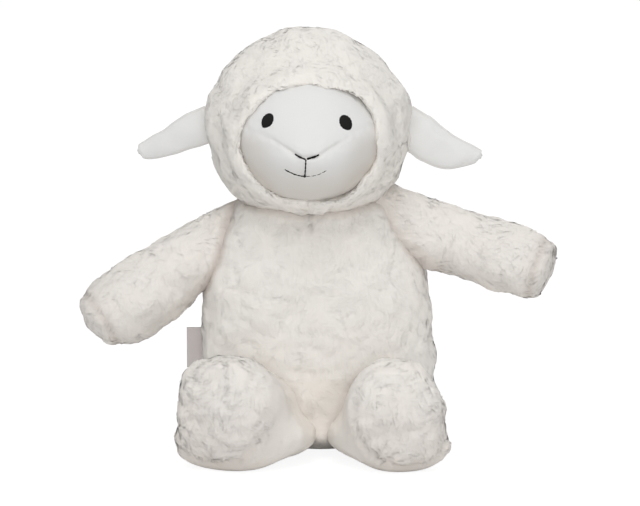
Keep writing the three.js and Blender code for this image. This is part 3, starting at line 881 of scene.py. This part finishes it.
class SHEEP_OT_face(bpy.types.Operator):
    """Stretches the smooth face over its filling"""

    bl_idname = "sheep.face"
    bl_label = "Face"

    def execute(self, context):
        sizes, look = context.scene.sheep_sizes, context.scene.sheep_face
        form = bmesh.new()
        bmesh.ops.create_uvsphere(form, u_segments=200, v_segments=150, radius=1)
        forward = Vector((0, 0, 1)).rotation_difference((0, -1, 0)).to_matrix()
        bmesh.ops.rotate(form, matrix=forward, verts=form.verts)
        bmesh.ops.scale(
            form, vec=(sizes.face_half_width, sizes.face_depth, sizes.face_half_height), verts=form.verts)
        bmesh.ops.translate(form, vec=FACE_CENTRE, verts=form.verts)
        piece = piece_from(form, "face_cloth")
        points = points_of(piece)
        front = points[:, 1] < FACE_CENTRE.y
        across = (points[:, 0] - FACE_CENTRE.x) / (24 * MM)
        up = points[:, 2] - NOSE_HEIGHT
        up = up / np.where(up > 0, 19 * MM, 15 * MM)
        points[:, 1] -= 10 * MM * bell(across, 1) * bell(up, 1) * front
        move_points(piece, points)
        above = tongue_drop(points)
        outward = np.abs(points[:, 0] - FACE_CENTRE.x)
        seam = bell(above, 1.3 * MM) * (1 - ramp(outward, 8 * MM, 32 * MM))
        puff = 0.4 * MM * ramp(above, 0, 5 * MM) + 0.6 * MM * bell(above + 8 * MM, 7 * MM)
        pucker = 0.18 * MM * wobble(points, 7 * MM, 31) * bell(above, 5 * MM)
        lumps = 0.25 * MM * wobble(points, 30 * MM, 32)
        stand = (puff + pucker + lumps - look.seam_depth * seam) * front
        move_points(piece, points + normals_of(piece) * stand[:, None])
        # Painted shade in the seam under the upper panel, round the rim, under the muzzle and on the cheeks.
        rim = ramp(face_distance(points, sizes), 0.8, 1.0)
        under = 1 - ramp(points[:, 2], 160 * MM, 186 * MM)
        cheek = ramp(outward, 14 * MM, 34 * MM) * ramp(-above, -4 * MM, 10 * MM)
        keep_value(piece, "painted_shade", 0.22 * seam * front + 0.2 * rim + 0.72 * under + 0.6 * cheek)
        finished(piece, "smooth_cloth", ["face_upper", "face_muzzle"], "head")
        return {"FINISHED"}


# Embroidery, sewn on the face as it stands

def face_surface():
    """A search tree of the face's cloth."""
    face = bpy.data.objects["face_cloth"]
    return BVHTree.FromObject(face, bpy.context.evaluated_depsgraph_get())


def on_face(tree, x, z, raised):
    """The point at x and z on the face's cloth, seen from the front, raised off it."""
    place, normal, _, _ = tree.ray_cast(Vector((x, -0.2, z)), Vector((0, 1, 0)))
    return place + normal * raised


EYES = {
    "left_eye": {
        "side": -1, "x": -25.8 * MM, "z": 204.6 * MM, "half_sizes": (3.05 * MM, 4.75 * MM), "point": 0.3},
    "right_eye": {
        "side": 1, "x": 19.8 * MM, "z": 203.7 * MM, "half_sizes": (3.35 * MM, 4.75 * MM), "point": 0.22},
}
EYE_TILT = math.radians(35)


class SHEEP_OT_eyes(bpy.types.Operator):
    """Embroiders the eyes in satin stitch"""

    bl_idname = "sheep.eyes"
    bl_label = "Eyes"

    def execute(self, context):
        tree = face_surface()
        for name, eye in EYES.items():
            form = bmesh.new()
            bmesh.ops.create_uvsphere(form, u_segments=72, v_segments=48, radius=1)
            combed = []
            for vertex in form.verts:
                x, y, z = vertex.co
                row = round(z * 16)
                ragged = 1 + 0.035 * math.sin(row * 7.3) * (x * x)
                pointed = 1 - eye["point"] * max(0, -z) ** 2
                width, height = x * eye["half_sizes"][0] * ragged * pointed, z * eye["half_sizes"][1]
                tilt = eye["side"] * EYE_TILT
                across = width * math.cos(tilt) - height * math.sin(tilt)
                up = width * math.sin(tilt) + height * math.cos(tilt)
                raised = -y * (0.75 + 0.08 * math.cos(z * 100)) * MM
                vertex.co = on_face(tree, eye["x"] + across, eye["z"] + up, raised)
                combed.append(height)
            piece = piece_from(form, name + "_satin")
            keep_value(piece, "comb", combed)
            finished(piece, "thread", [name], "head")
        return {"FINISHED"}


STITCH_STEPS = 22
PLY_SHARE = 0.38


def lay_ply(spun, turn, radius, sink, reach, walked, route, tree):
    """Lays one ply of one stitch along its reach of a route over the face."""
    spun.points.add(STITCH_STEPS - 1)
    low, high = reach
    for step, point in enumerate(spun.points):
        share = step / (STITCH_STEPS - 1)
        at = low + (high - low) * (-0.04 + 1.08 * share)
        x, z = (np.interp(at, walked, line) for line in route.T)
        along, ahead = (
            np.interp(at + 0.2 * MM, walked, line) - np.interp(at - 0.2 * MM, walked, line)
            for line in route.T)
        arch = math.sin(math.pi * share) ** 0.5 if 0 < share < 1 else 0
        angle = turn + at / (radius * 5.5) * math.pi
        raised = radius * (0.75 * arch - 0.35) - sink + PLY_SHARE * radius * math.sin(angle)
        slide = PLY_SHARE * radius * math.cos(angle)
        size = math.hypot(ahead, along) or 1
        place = on_face(tree, x - ahead / size * slide, z + along / size * slide, raised)
        point.co = (*place, 1)
        point.radius = radius * 0.66 * (0.55 + 0.45 * arch)


def stitches(name, node, seams, tree):
    """Separate back stitches of two twisted plies along lines on the face.
    Each seam is its points as (x, z), its thread's half width, the stitch length and the sink."""
    curve = bpy.data.curves.new(name, "CURVE")
    curve.dimensions = "3D"
    curve.bevel_depth = 1
    curve.bevel_resolution = 2
    curve.use_fill_caps = True
    for line, radius, stitch, sink in seams:
        route = spline(line, 24)
        walked = np.concatenate([[0], np.cumsum(np.linalg.norm(np.diff(route, axis=0), axis=1))])
        count = max(1, round(walked[-1] / stitch))
        for index in range(count):
            reach = walked[-1] * index / count, walked[-1] * (index + 1) / count
            for turn in (0, math.pi):
                lay_ply(curve.splines.new("POLY"), turn, radius, sink, reach, walked, route, tree)
    drawn = bpy.data.objects.new(name, curve)
    bpy.context.scene.collection.objects.link(drawn)
    mesh = bpy.data.meshes.new_from_object(drawn.evaluated_get(bpy.context.evaluated_depsgraph_get()))
    bpy.data.objects.remove(drawn)
    piece = bpy.data.objects.new(name, mesh)
    bpy.context.scene.collection.objects.link(piece)
    mesh.shade_smooth()
    points = points_of(piece)
    keep_value(piece, "comb", points[:, 0] + points[:, 2])
    finished(piece, "thread", [node], "head")


NOSE_X = -3.4 * MM


class SHEEP_OT_mouth(bpy.types.Operator):
    """Sews the nose, the lip and the mouth"""

    bl_idname = "sheep.mouth"
    bl_label = "Nose and mouth"

    def execute(self, context):
        tree = face_surface()
        thick = context.scene.sheep_face.thread
        nose, mouth = 184.3 * MM, 173.4 * MM

        def at(across, height):
            return (NOSE_X + across * MM, height)

        left = [at(-6.2, nose + 2.6 * MM), at(-3, nose + 0.9 * MM), at(-0.3, nose)]
        right = [at(0.8, nose + 0.1 * MM), at(3.8, nose + 0.9 * MM), at(7.4, nose + 2.6 * MM)]
        bars = [(left, thick * 0.95, 8 * MM, 0), (right, thick * 1.2, 9 * MM, 0)]
        stitches("nose_satin", "nose_stitch", bars, tree)
        lip = [at(0, nose - 0.3 * MM), at(-0.2, nose - 5 * MM), at(-0.6, mouth)]
        knot = [at(-1.1, mouth + 0.1 * MM), at(-0.1, mouth - 0.1 * MM)]
        twists = [(lip, thick * 0.72, 1.5 * MM, 0), (knot, thick * 1.2, 2 * MM, 0)]
        stitches("lip_twist", "lip_stitch", twists, tree)
        left = [at(-12.2, mouth + 3.9 * MM), at(-6, mouth + 1.0 * MM), at(-0.8, mouth - 0.1 * MM)]
        right = [at(-0.4, mouth - 0.1 * MM), at(6, mouth + 0.6 * MM), at(12, mouth + 3.6 * MM)]
        smile = [(left, thick * 0.66, 4.4 * MM, 0.05 * MM), (right, thick * 0.5, 3.2 * MM, 0.22 * MM)]
        stitches("mouth_twist", "mouth_stitch", smile, tree)
        return {"FINISHED"}


# Ears, arms and legs

EAR_LENGTH = 45 * MM
EAR_THICKNESS = 4.6 * MM
LEFT_EAR = {
    "side": -1, "droop": 23.4, "sweep": 18,
    "spine": [(0, 0), (0.3, 0.01), (0.6, -0.01), (0.85, 0.0), (1, 0.02)],
    "half_widths": [(0, 11.4), (0.15, 11), (0.35, 9.8), (0.6, 8.2), (0.8, 6.8), (0.93, 5.3), (1, 3.6)],
}
RIGHT_EAR = {
    "side": 1, "droop": 25, "sweep": 5,
    "spine": [(0, -0.02), (0.3, -0.09), (0.6, -0.115), (0.85, -0.055), (1, 0.01)],
    "half_widths": [(0, 12.6), (0.15, 12.8), (0.4, 12.2), (0.6, 10.8), (0.8, 8), (0.93, 5.6), (1, 3.6)],
}


class SHEEP_OT_ears(bpy.types.Operator):
    """Sews the drooping ears of smooth cloth"""

    bl_idname = "sheep.ears"
    bl_label = "Ears"

    def execute(self, context):
        for name, ear in (("left_ear", LEFT_EAR), ("right_ear", RIGHT_EAR)):
            nodes = [name + "_front", name + "_back"]
            finished(self.leaf(name, ear), "smooth_cloth", nodes, name)
        return {"FINISHED"}

    @staticmethod
    def leaf(name, ear):
        """A flat leaf with a rolled edge, from its root in the hood to its rounded tip."""
        form = bmesh.new()
        bmesh.ops.create_uvsphere(form, u_segments=64, v_segments=96, radius=1)
        widths, spine = spline(ear["half_widths"], 12), spline(ear["spine"], 12)
        edges, shares = [], []
        for vertex in form.verts:
            ring = math.hypot(vertex.co.x, vertex.co.y)
            edge, flat = (vertex.co.x / ring, vertex.co.y / ring) if ring > 1e-6 else (0, 0)
            share = (1 - vertex.co.z) / 2
            half_width = np.interp(share, widths[:, 0], widths[:, 1]) * MM * min(1, ring * 3)
            thickness = EAR_THICKNESS * (0.52 - 0.1 * share) * min(1, ring * 2.2)
            rolled = 0.62 + 0.38 * (1 - abs(edge) ** 6)
            vertex.co = (
                (share * 1.04 - 0.08 - 0.12 * float(1 - ramp(share, 0, 0.2))) * EAR_LENGTH,
                flat * thickness * rolled - 0.2 * EAR_THICKNESS * (1 - edge * edge),
                np.interp(share, spine[:, 0], spine[:, 1]) * EAR_LENGTH + edge * half_width)
            edges.append(abs(edge))
            shares.append(share)
        droop = Matrix.Rotation(math.radians(ear["droop"]), 4, "Y")
        mirror = Matrix.Diagonal((ear["side"], 1, 1, 1))
        sweep = Matrix.Rotation(ear["side"] * math.radians(ear["sweep"]), 4, "Z")
        place = Matrix.Translation(JOINTS[name + "_swing"]["pos_m"])
        bmesh.ops.transform(form, matrix=place @ sweep @ mirror @ droop, verts=form.verts)
        bmesh.ops.recalc_face_normals(form, faces=form.faces)
        piece = piece_from(form, name + "_cloth")
        edge, share = np.array(edges), np.array(shares)
        groove = 0.35 * MM * bell(edge - 0.93, 0.06)
        lumps = 0.2 * MM * wobble(points_of(piece), 14 * MM, 41)
        move_points(piece, points_of(piece) + normals_of(piece) * (lumps - groove)[:, None])
        # Painted shade along the rolled edge and at the root.
        keep_value(piece, "painted_shade", 0.3 * bell(edge - 0.93, 0.05) + 0.25 * (1 - ramp(share, 0, 0.2)))
        return piece


def limb_axes(joint, direction):
    """A limb's pivot and its own level, up and forward directions."""
    forward = Vector(direction).normalized()
    level = Vector((0, 0, 1)).cross(forward).normalized()
    return Vector(JOINTS[joint]["pos_m"]), level, forward.cross(level), forward


def local_points(points, axes):
    """Points in a limb's own frame."""
    pivot, level, up, forward = (np.array(axis) for axis in axes)
    return (points - pivot) @ np.array([level, up, forward]).T


def limb_piece(form, name, look, axes, end_seam):
    """A limb's stuffed cloth at its place, made in its own frame and held at its root and end seam."""
    def held(points):
        out = points[:, 2]
        return [1 - ramp(out, 0, 12 * MM), bell(out - end_seam, 2.5 * MM)]

    piece = sewn(form, name, look, held)
    pivot, level, up, forward = (np.array(axis) for axis in axes)
    move_points(piece, points_of(piece) @ np.array([level, up, forward]) + pivot)
    return piece


ARM_PROFILE = [
    (0, -0.2), (0.55, -0.19), (0.84, -0.13), (0.91, 0.0), (0.94, 0.22), (0.95, 0.45), (0.985, 0.66),
    (0.97, 0.8), (0.93, 0.91), (0.83, 0.965), (0.68, 0.99), (0.3, 1.015), (0, 1.02),
]
ARM_TILT = 1.1
# Each arm's crease is the most crease shade painted in its armpit and where it meets the body.
ARMS = {
    "left": {
        "side": -1, "drop": 29.7, "advance": 17, "paw": 23.3 * MM, "stretch": 1.02, "tilt": -0.04,
        "root": 0.88, "end": 0.9, "top": 0.93, "belly": 0.08, "crease_shade": 0.72},
    "right": {
        "side": 1, "drop": 15.2, "advance": 15, "paw": 21.4 * MM, "stretch": 1.035, "tilt": -0.02,
        "root": 1.05, "end": 1.02, "top": 1.09, "belly": 0, "crease_shade": 0.4},
}


def arm_form(arm, sizes, length):
    """An arm in its own frame, slanted at the shoulder, with its own root, top, belly and end."""
    form = revolved(ARM_PROFILE, arm["paw"], length)
    for vertex in form.verts:
        co = vertex.co
        near = 1 - ramp(co.z, 0, 0.5 * sizes.arm_length)
        far = ramp(co.z, 0.5 * length, length)
        shoulder = float(1 - ramp(co.z, 0, 0.25 * length))
        girth = 1 + (arm["root"] - 1) * shoulder
        girth *= 1 + (arm["end"] - 1) * float(ramp(co.z, 0.7 * length, length))
        co.x, co.y = co.x * girth, co.y * girth
        if co.y > 0:
            co.y *= 1 + (arm["top"] - 1) * shoulder
        else:
            co.y *= 1 + arm["belly"] * float(bell(co.z - 0.7 * length, 0.16 * length))
        co.z -= (ARM_TILT * float(near) + arm["tilt"] * float(far)) * co.y
    return form


class SHEEP_OT_arms(bpy.types.Operator):
    """Sews and stuffs the arms, and joins them to the body"""

    bl_idname = "sheep.arms"
    bl_label = "Arms"

    def execute(self, context):
        sizes, look = context.scene.sheep_sizes, context.scene.sheep_fleece
        for seed, (name, arm) in enumerate(ARMS.items(), start=50):
            drop, advance = math.radians(arm["drop"]), math.radians(arm["advance"])
            axes = limb_axes(name + "_shoulder", (
                arm["side"] * math.cos(drop) * math.cos(advance),
                -math.cos(drop) * math.sin(advance), -math.sin(drop)))
            length = sizes.arm_length * arm["stretch"]
            form = arm_form(arm, sizes, length)
            piece = limb_piece(form, name + "_arm_fleece", look, axes, 0.955 * length)
            carved(piece, lambda points: self.seams(local_points(points, axes), length))
            fleeced(piece, look, seed, relief=0.68)
            local = local_points(points_of(piece), axes)
            _, up, out = local.T
            # Painted shade at the root and along the seams, and darker crease shade over the whole arm, most
            # in the armpit, under the arm, at the paw, along the seams and where it meets the body.
            root = 1 - ramp(out + ARM_TILT * up, 4 * MM, 24 * MM)
            seam = self.seams(local, length) / SEAM_FULL
            keep_value(piece, "painted_shade", 0.3 * root + 0.3 * seam)
            paw = ramp(out, 0.8 * length, 0.95 * length)
            armpit = (1 - ramp(out, 18 * MM, 44 * MM)) * ramp(-up, 2 * MM, 14 * MM)
            below = 0.16 * ramp(-up, 6 * MM, 18 * MM)
            crease_shade = 0.15 + 0.1 * paw + below + 0.55 * seam + arm["crease_shade"] * 0.5 * armpit
            keep_value(piece, "crease_shade", crease_shade)
            shaded_in_creases(piece, 6 * MM, arm["crease_shade"])
            nodes = [name + "_arm", name + "_paw", name + "_arm_stuffing"]
            finished(piece, "fleece", nodes)
            outward = (axes[3] + axes[2] * ARM_TILT).normalized()
            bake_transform(piece, "body", name + "_arm", axes[0], axes[0] + outward * 26 * MM)
        return {"FINISHED"}

    @staticmethod
    def seams(local, length):
        """Depth of the seam round the paw's end and along the underside."""
        across, up, out = local.T
        end = 1.1 * MM * bell(out - 0.93 * length, 2.5 * MM)
        return np.maximum(end, 0.8 * MM * bell(across, 2.5 * MM) * (up < 0))


LEG_PROFILE = [
    (0, -0.5), (0.5, -0.44), (0.7, -0.27), (0.794, 0.0), (0.83, 0.22), (0.925, 0.47), (1, 0.67),
    (0.985, 0.83), (0.92, 0.935), (0.84, 0.985), (0.45, 1.05), (0, 1.075),
]
LEGS = {
    "left": {
        "side": -1, "splay": 21, "inner": 0.94, "inner_sole": 0.8, "thigh": 1.62, "rise": 12 * MM,
        "deepen": 0.07, "outer": 0, "outer_top": 0.1, "outer_low": 0.42, "corner": 0.22, "kick": 0},
    "right": {
        "side": 1, "splay": 11, "inner": 0.86, "inner_sole": 0.86, "thigh": 1.45, "rise": 10.5 * MM,
        "deepen": 0.05, "outer": -0.12, "outer_top": -0.02, "outer_low": 0.42, "corner": 0, "kick": 0.09},
}
HEEL_RADIUS = 34 * MM
SAG_SHARE = 0.07


def leg_form(leg, sizes):
    """A leg in its own frame, with a low inner thigh, a broad sole and a full outer corner."""
    form = revolved(LEG_PROFILE, HEEL_RADIUS, sizes.leg_length)
    for vertex in form.verts:
        co = vertex.co
        share = co.z / sizes.leg_length
        along, foot = min(max(share, 0), 1), ramp(share, 0.2, 0.6)
        if co.x * leg["side"] < 0:
            low = ramp(-co.y, -4 * MM, 16 * MM) + 0.25 * ramp(-co.y, 14 * MM, 26 * MM)
            low *= 1 - ramp(share, 0.1, 0.85)
            inner = leg["inner"] + (leg["inner_sole"] - leg["inner"]) * ramp(share, 0.3, 0.9)
            co.x *= float(inner + (leg["thigh"] - leg["inner"]) * low)
        else:
            top = ramp(co.y, 0, 24 * MM) * foot
            low = ramp(-co.y, 6 * MM, 30 * MM) * foot
            outer = leg["outer"] * foot
            co.x *= 1 + float(outer + leg["outer_top"] * top + leg["outer_low"] * low)
        co.x -= leg["side"] * SAG_SHARE * co.y * along
        if co.y < 0:
            co.x *= 1 + leg["corner"] * float(ramp(-co.y, 20 * MM, 33 * MM) * foot)
            co.x += leg["side"] * leg["kick"] * max(0, -co.y - 10 * MM) * along
            co.y *= 1 + leg["deepen"] * float(ramp(share, 0.2, 0.7))
        co.y += leg["rise"] * max(share, 0)
    return form


class SHEEP_OT_legs(bpy.types.Operator):
    """Sews and stuffs the legs, and joins them to the body"""

    bl_idname = "sheep.legs"
    bl_label = "Legs"

    def execute(self, context):
        sizes, look = context.scene.sheep_sizes, context.scene.sheep_fleece
        for seed, (name, leg) in enumerate(LEGS.items(), start=60):
            splay = math.radians(leg["splay"])
            axes = limb_axes(name + "_hip", (leg["side"] * math.sin(splay), -math.cos(splay), 0))
            end_seam = 0.94 * sizes.leg_length
            piece = limb_piece(leg_form(leg, sizes), name + "_leg_fleece", look, axes, end_seam)
            carved(piece, lambda points: self.seams(local_points(points, axes), sizes))
            fleeced(piece, look, seed, relief=1.05, length=lambda points: self.pile(points, axes, leg))
            rested(piece)
            local = local_points(points_of(piece), axes)
            _, up, out = local.T
            # Painted shade at the root, underneath and along the sole's seam, and darker crease shade over
            # the leg, most on the sole's lower part and where the leg meets the body.
            root = 1 - ramp(out, 0, 22 * MM)
            under = ramp(-up, 14 * MM, 26 * MM) * (1 - ramp(out, 44 * MM, 48 * MM))
            shade = 0.3 * root + 0.4 * under
            keep_value(piece, "painted_shade", shade + 0.3 * self.seams(local, sizes) / SEAM_FULL)
            sole = ramp(out, 30 * MM, 44 * MM) * (1 - 0.8 * ramp(up, 4 * MM, 24 * MM))
            keep_value(piece, "crease_shade", 0.06 + 0.2 * sole)
            shaded_in_creases(piece, 5 * MM, 0.3)
            nodes = [name + "_leg", name + "_sole", name + "_leg_stuffing"]
            finished(piece, "fleece", nodes)
            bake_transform(piece, "body", name + "_leg", axes[0], axes[0] + axes[3] * 24 * MM)
        return {"FINISHED"}

    @staticmethod
    def pile(points, axes, leg):
        """Shares of full pile: short on the underside and on the inner side of the leg."""
        across, up, out = local_points(points, axes).T
        behind = 1 - ramp(out, 42 * MM, 48 * MM)
        inside = ramp(-leg["side"] * across, 6 * MM, 18 * MM) * behind
        under = ramp(-up, 8 * MM, 22 * MM) * behind
        return above_floor(points) * (1 - 0.75 * np.maximum(inside, under))

    @staticmethod
    def seams(local, sizes):
        """Depth of the seam round the sole, which shows most on its underside."""
        below = ramp(-local[:, 1], 0, 20 * MM)
        return (1.2 + 2.5 * below) * MM * bell(local[:, 2] - 0.92 * sizes.leg_length, 3.2 * MM)


RIBBON_THICKNESS = 0.45 * MM


class SHEEP_OT_label(bpy.types.Operator):
    """Folds the bare ribbon label into the side seam"""

    bl_idname = "sheep.label"
    bl_label = "Side label"

    def execute(self, context):
        low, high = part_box("side_label")
        length = high.x - low.x
        form = bmesh.new()
        bmesh.ops.create_grid(form, x_segments=48, y_segments=16, size=0.5)
        for vertex in form.verts:
            share, up = vertex.co.x + 0.5, vertex.co.y + 0.5
            walk = abs(share - 0.5) * 2
            fold = math.sqrt(max(0, 1 - (1 - walk) ** 6)) * 0.55 * MM
            x = low.x + length * walk * 1.15
            bow = 0.5 * MM * math.sin(math.pi * up) * (1 - walk)
            y = math.copysign(fold, share - 0.5) + bow
            vertex.co = (x, y, low.z + (high.z - low.z) * up)
        bmesh.ops.solidify(form, geom=form.faces[:], thickness=RIBBON_THICKNESS)
        bmesh.ops.recalc_face_normals(form, faces=form.faces)
        finished(piece_from(form, "side_ribbon"), "ribbon", ["side_label"], "body")
        return {"FINISHED"}


# Stage

FLOOR_GLOW = 0.895


class SHEEP_OT_stage(bpy.types.Operator):
    """Sets the floor, the light and the camera"""

    bl_idname = "sheep.stage"
    bl_label = "Stage"

    def execute(self, context):
        look = context.scene.sheep_stage
        self.camera(context.scene, look)
        self.floor()
        self.world(context.scene, look)
        self.lamp("key", (-0.18, -1.2, 2.3), 1.6, look.key_power)
        self.lamp("back", (0.3, 1.8, 1.5), 1.6, look.key_power * 0.45)
        self.lamp("fill", (0.45, -2.2, 0.45), 1.2, look.key_power * 0.4)
        context.scene.view_settings.view_transform = "Standard"
        return {"FINISHED"}

    @staticmethod
    def camera(scene, look):
        """A long lens in front of the sheep, a little above it."""
        data = bpy.data.cameras.new("camera")
        camera = bpy.data.objects.new("camera", data)
        scene.collection.objects.link(camera)
        back = Vector((0, -math.cos(look.elevation), math.sin(look.elevation)))
        camera.location = Vector(look.aim) + back * look.distance
        camera.rotation_euler = (-back).to_track_quat("-Z", "Y").to_euler()
        data.lens = data.sensor_width * look.distance / look.view_width
        scene.camera = camera

    @staticmethod
    def floor():
        """A pale floor that shows white, with the sheep's shadow on it."""
        form = bmesh.new()
        bmesh.ops.create_grid(form, x_segments=1, y_segments=1, size=4)
        piece = piece_from(form, "floor")
        finish = Finish(bpy.data.materials.new("floor"))
        seen = finish.add("LightPath", output="Is Camera Ray")
        colour = finish.mix(seen, (0.9, 0.9, 0.9, 1), (0.2, 0.2, 0.2, 1))
        matte = finish.add("BsdfDiffuse", None, {"Color": colour})
        glow = finish.add("Emission", None, {"Color": (1, 1, 1, 1), "Strength": seen * FLOOR_GLOW})
        both = finish.add("AddShader", None, {0: matte, 1: glow})
        finish.add("OutputMaterial", None, {"Surface": both})
        piece.data.materials.append(finish.owner)

    @staticmethod
    def world(scene, look):
        """Even light from all round, which the camera sees as white."""
        world = bpy.data.worlds.new("studio")
        scene.world = world
        finish = Finish(world)
        camera, glossy, through = (
            finish.add("LightPath", output=f"Is {kind} Ray") for kind in ("Camera", "Glossy", "Transmission"))
        direct = finish.add("Math", {"operation": "MAXIMUM"}, {0: camera, 1: glossy})
        direct = finish.add("Math", {"operation": "MAXIMUM"}, {0: direct, 1: through})
        strength = direct * (1 - look.sky) + look.sky
        light = finish.add("Background", None, {"Color": (1, 1, 1, 1), "Strength": strength})
        finish.add("OutputWorld", None, {"Surface": light})

    @staticmethod
    def lamp(name, place, size, power):
        """A square lamp that faces the sheep."""
        data = bpy.data.lights.new(name, "AREA")
        data.size = size
        data.energy = power
        lamp = bpy.data.objects.new(name, data)
        bpy.context.scene.collection.objects.link(lamp)
        lamp.location = place
        lamp.rotation_euler = (Vector((0, 0, 0.12)) - Vector(place)).to_track_quat("-Z", "Y").to_euler()


OPERATORS = [
    SHEEP_OT_body, SHEEP_OT_neck, SHEEP_OT_hood, SHEEP_OT_face, SHEEP_OT_eyes, SHEEP_OT_mouth,
    SHEEP_OT_ears, SHEEP_OT_arms, SHEEP_OT_legs, SHEEP_OT_label, SHEEP_OT_stage,
]
SETTINGS = {
    "sheep_sizes": FormSizes, "sheep_fleece": FleeceLook, "sheep_face": FaceLook, "sheep_stage": StageLook,
}


class SHEEP_PT_panel(bpy.types.Panel):
    """Lists the sheep's pieces and settings"""

    bl_idname = "SHEEP_PT_panel"
    bl_label = "Plush Sheep"
    bl_space_type = "VIEW_3D"
    bl_region_type = "UI"
    bl_category = "Sheep"

    def draw(self, context):
        for name, group in SETTINGS.items():
            box = self.layout.box()
            for prop in group.__annotations__:
                box.prop(getattr(context.scene, name), prop)
        for operator in OPERATORS:
            self.layout.operator(operator.bl_idname)


def register():
    for cls in (*SETTINGS.values(), *OPERATORS, SHEEP_PT_panel):
        bpy.utils.register_class(cls)
    for name, group in SETTINGS.items():
        setattr(bpy.types.Scene, name, PointerProperty(type=group))


def unregister():
    for name in SETTINGS:
        delattr(bpy.types.Scene, name)
    for cls in reversed((*SETTINGS.values(), *OPERATORS, SHEEP_PT_panel)):
        bpy.utils.unregister_class(cls)


def main():
    register()
    for operator in OPERATORS:
        group, name = operator.bl_idname.split(".")
        getattr(getattr(bpy.ops, group), name)()


if __name__ == "__main__":
    main()
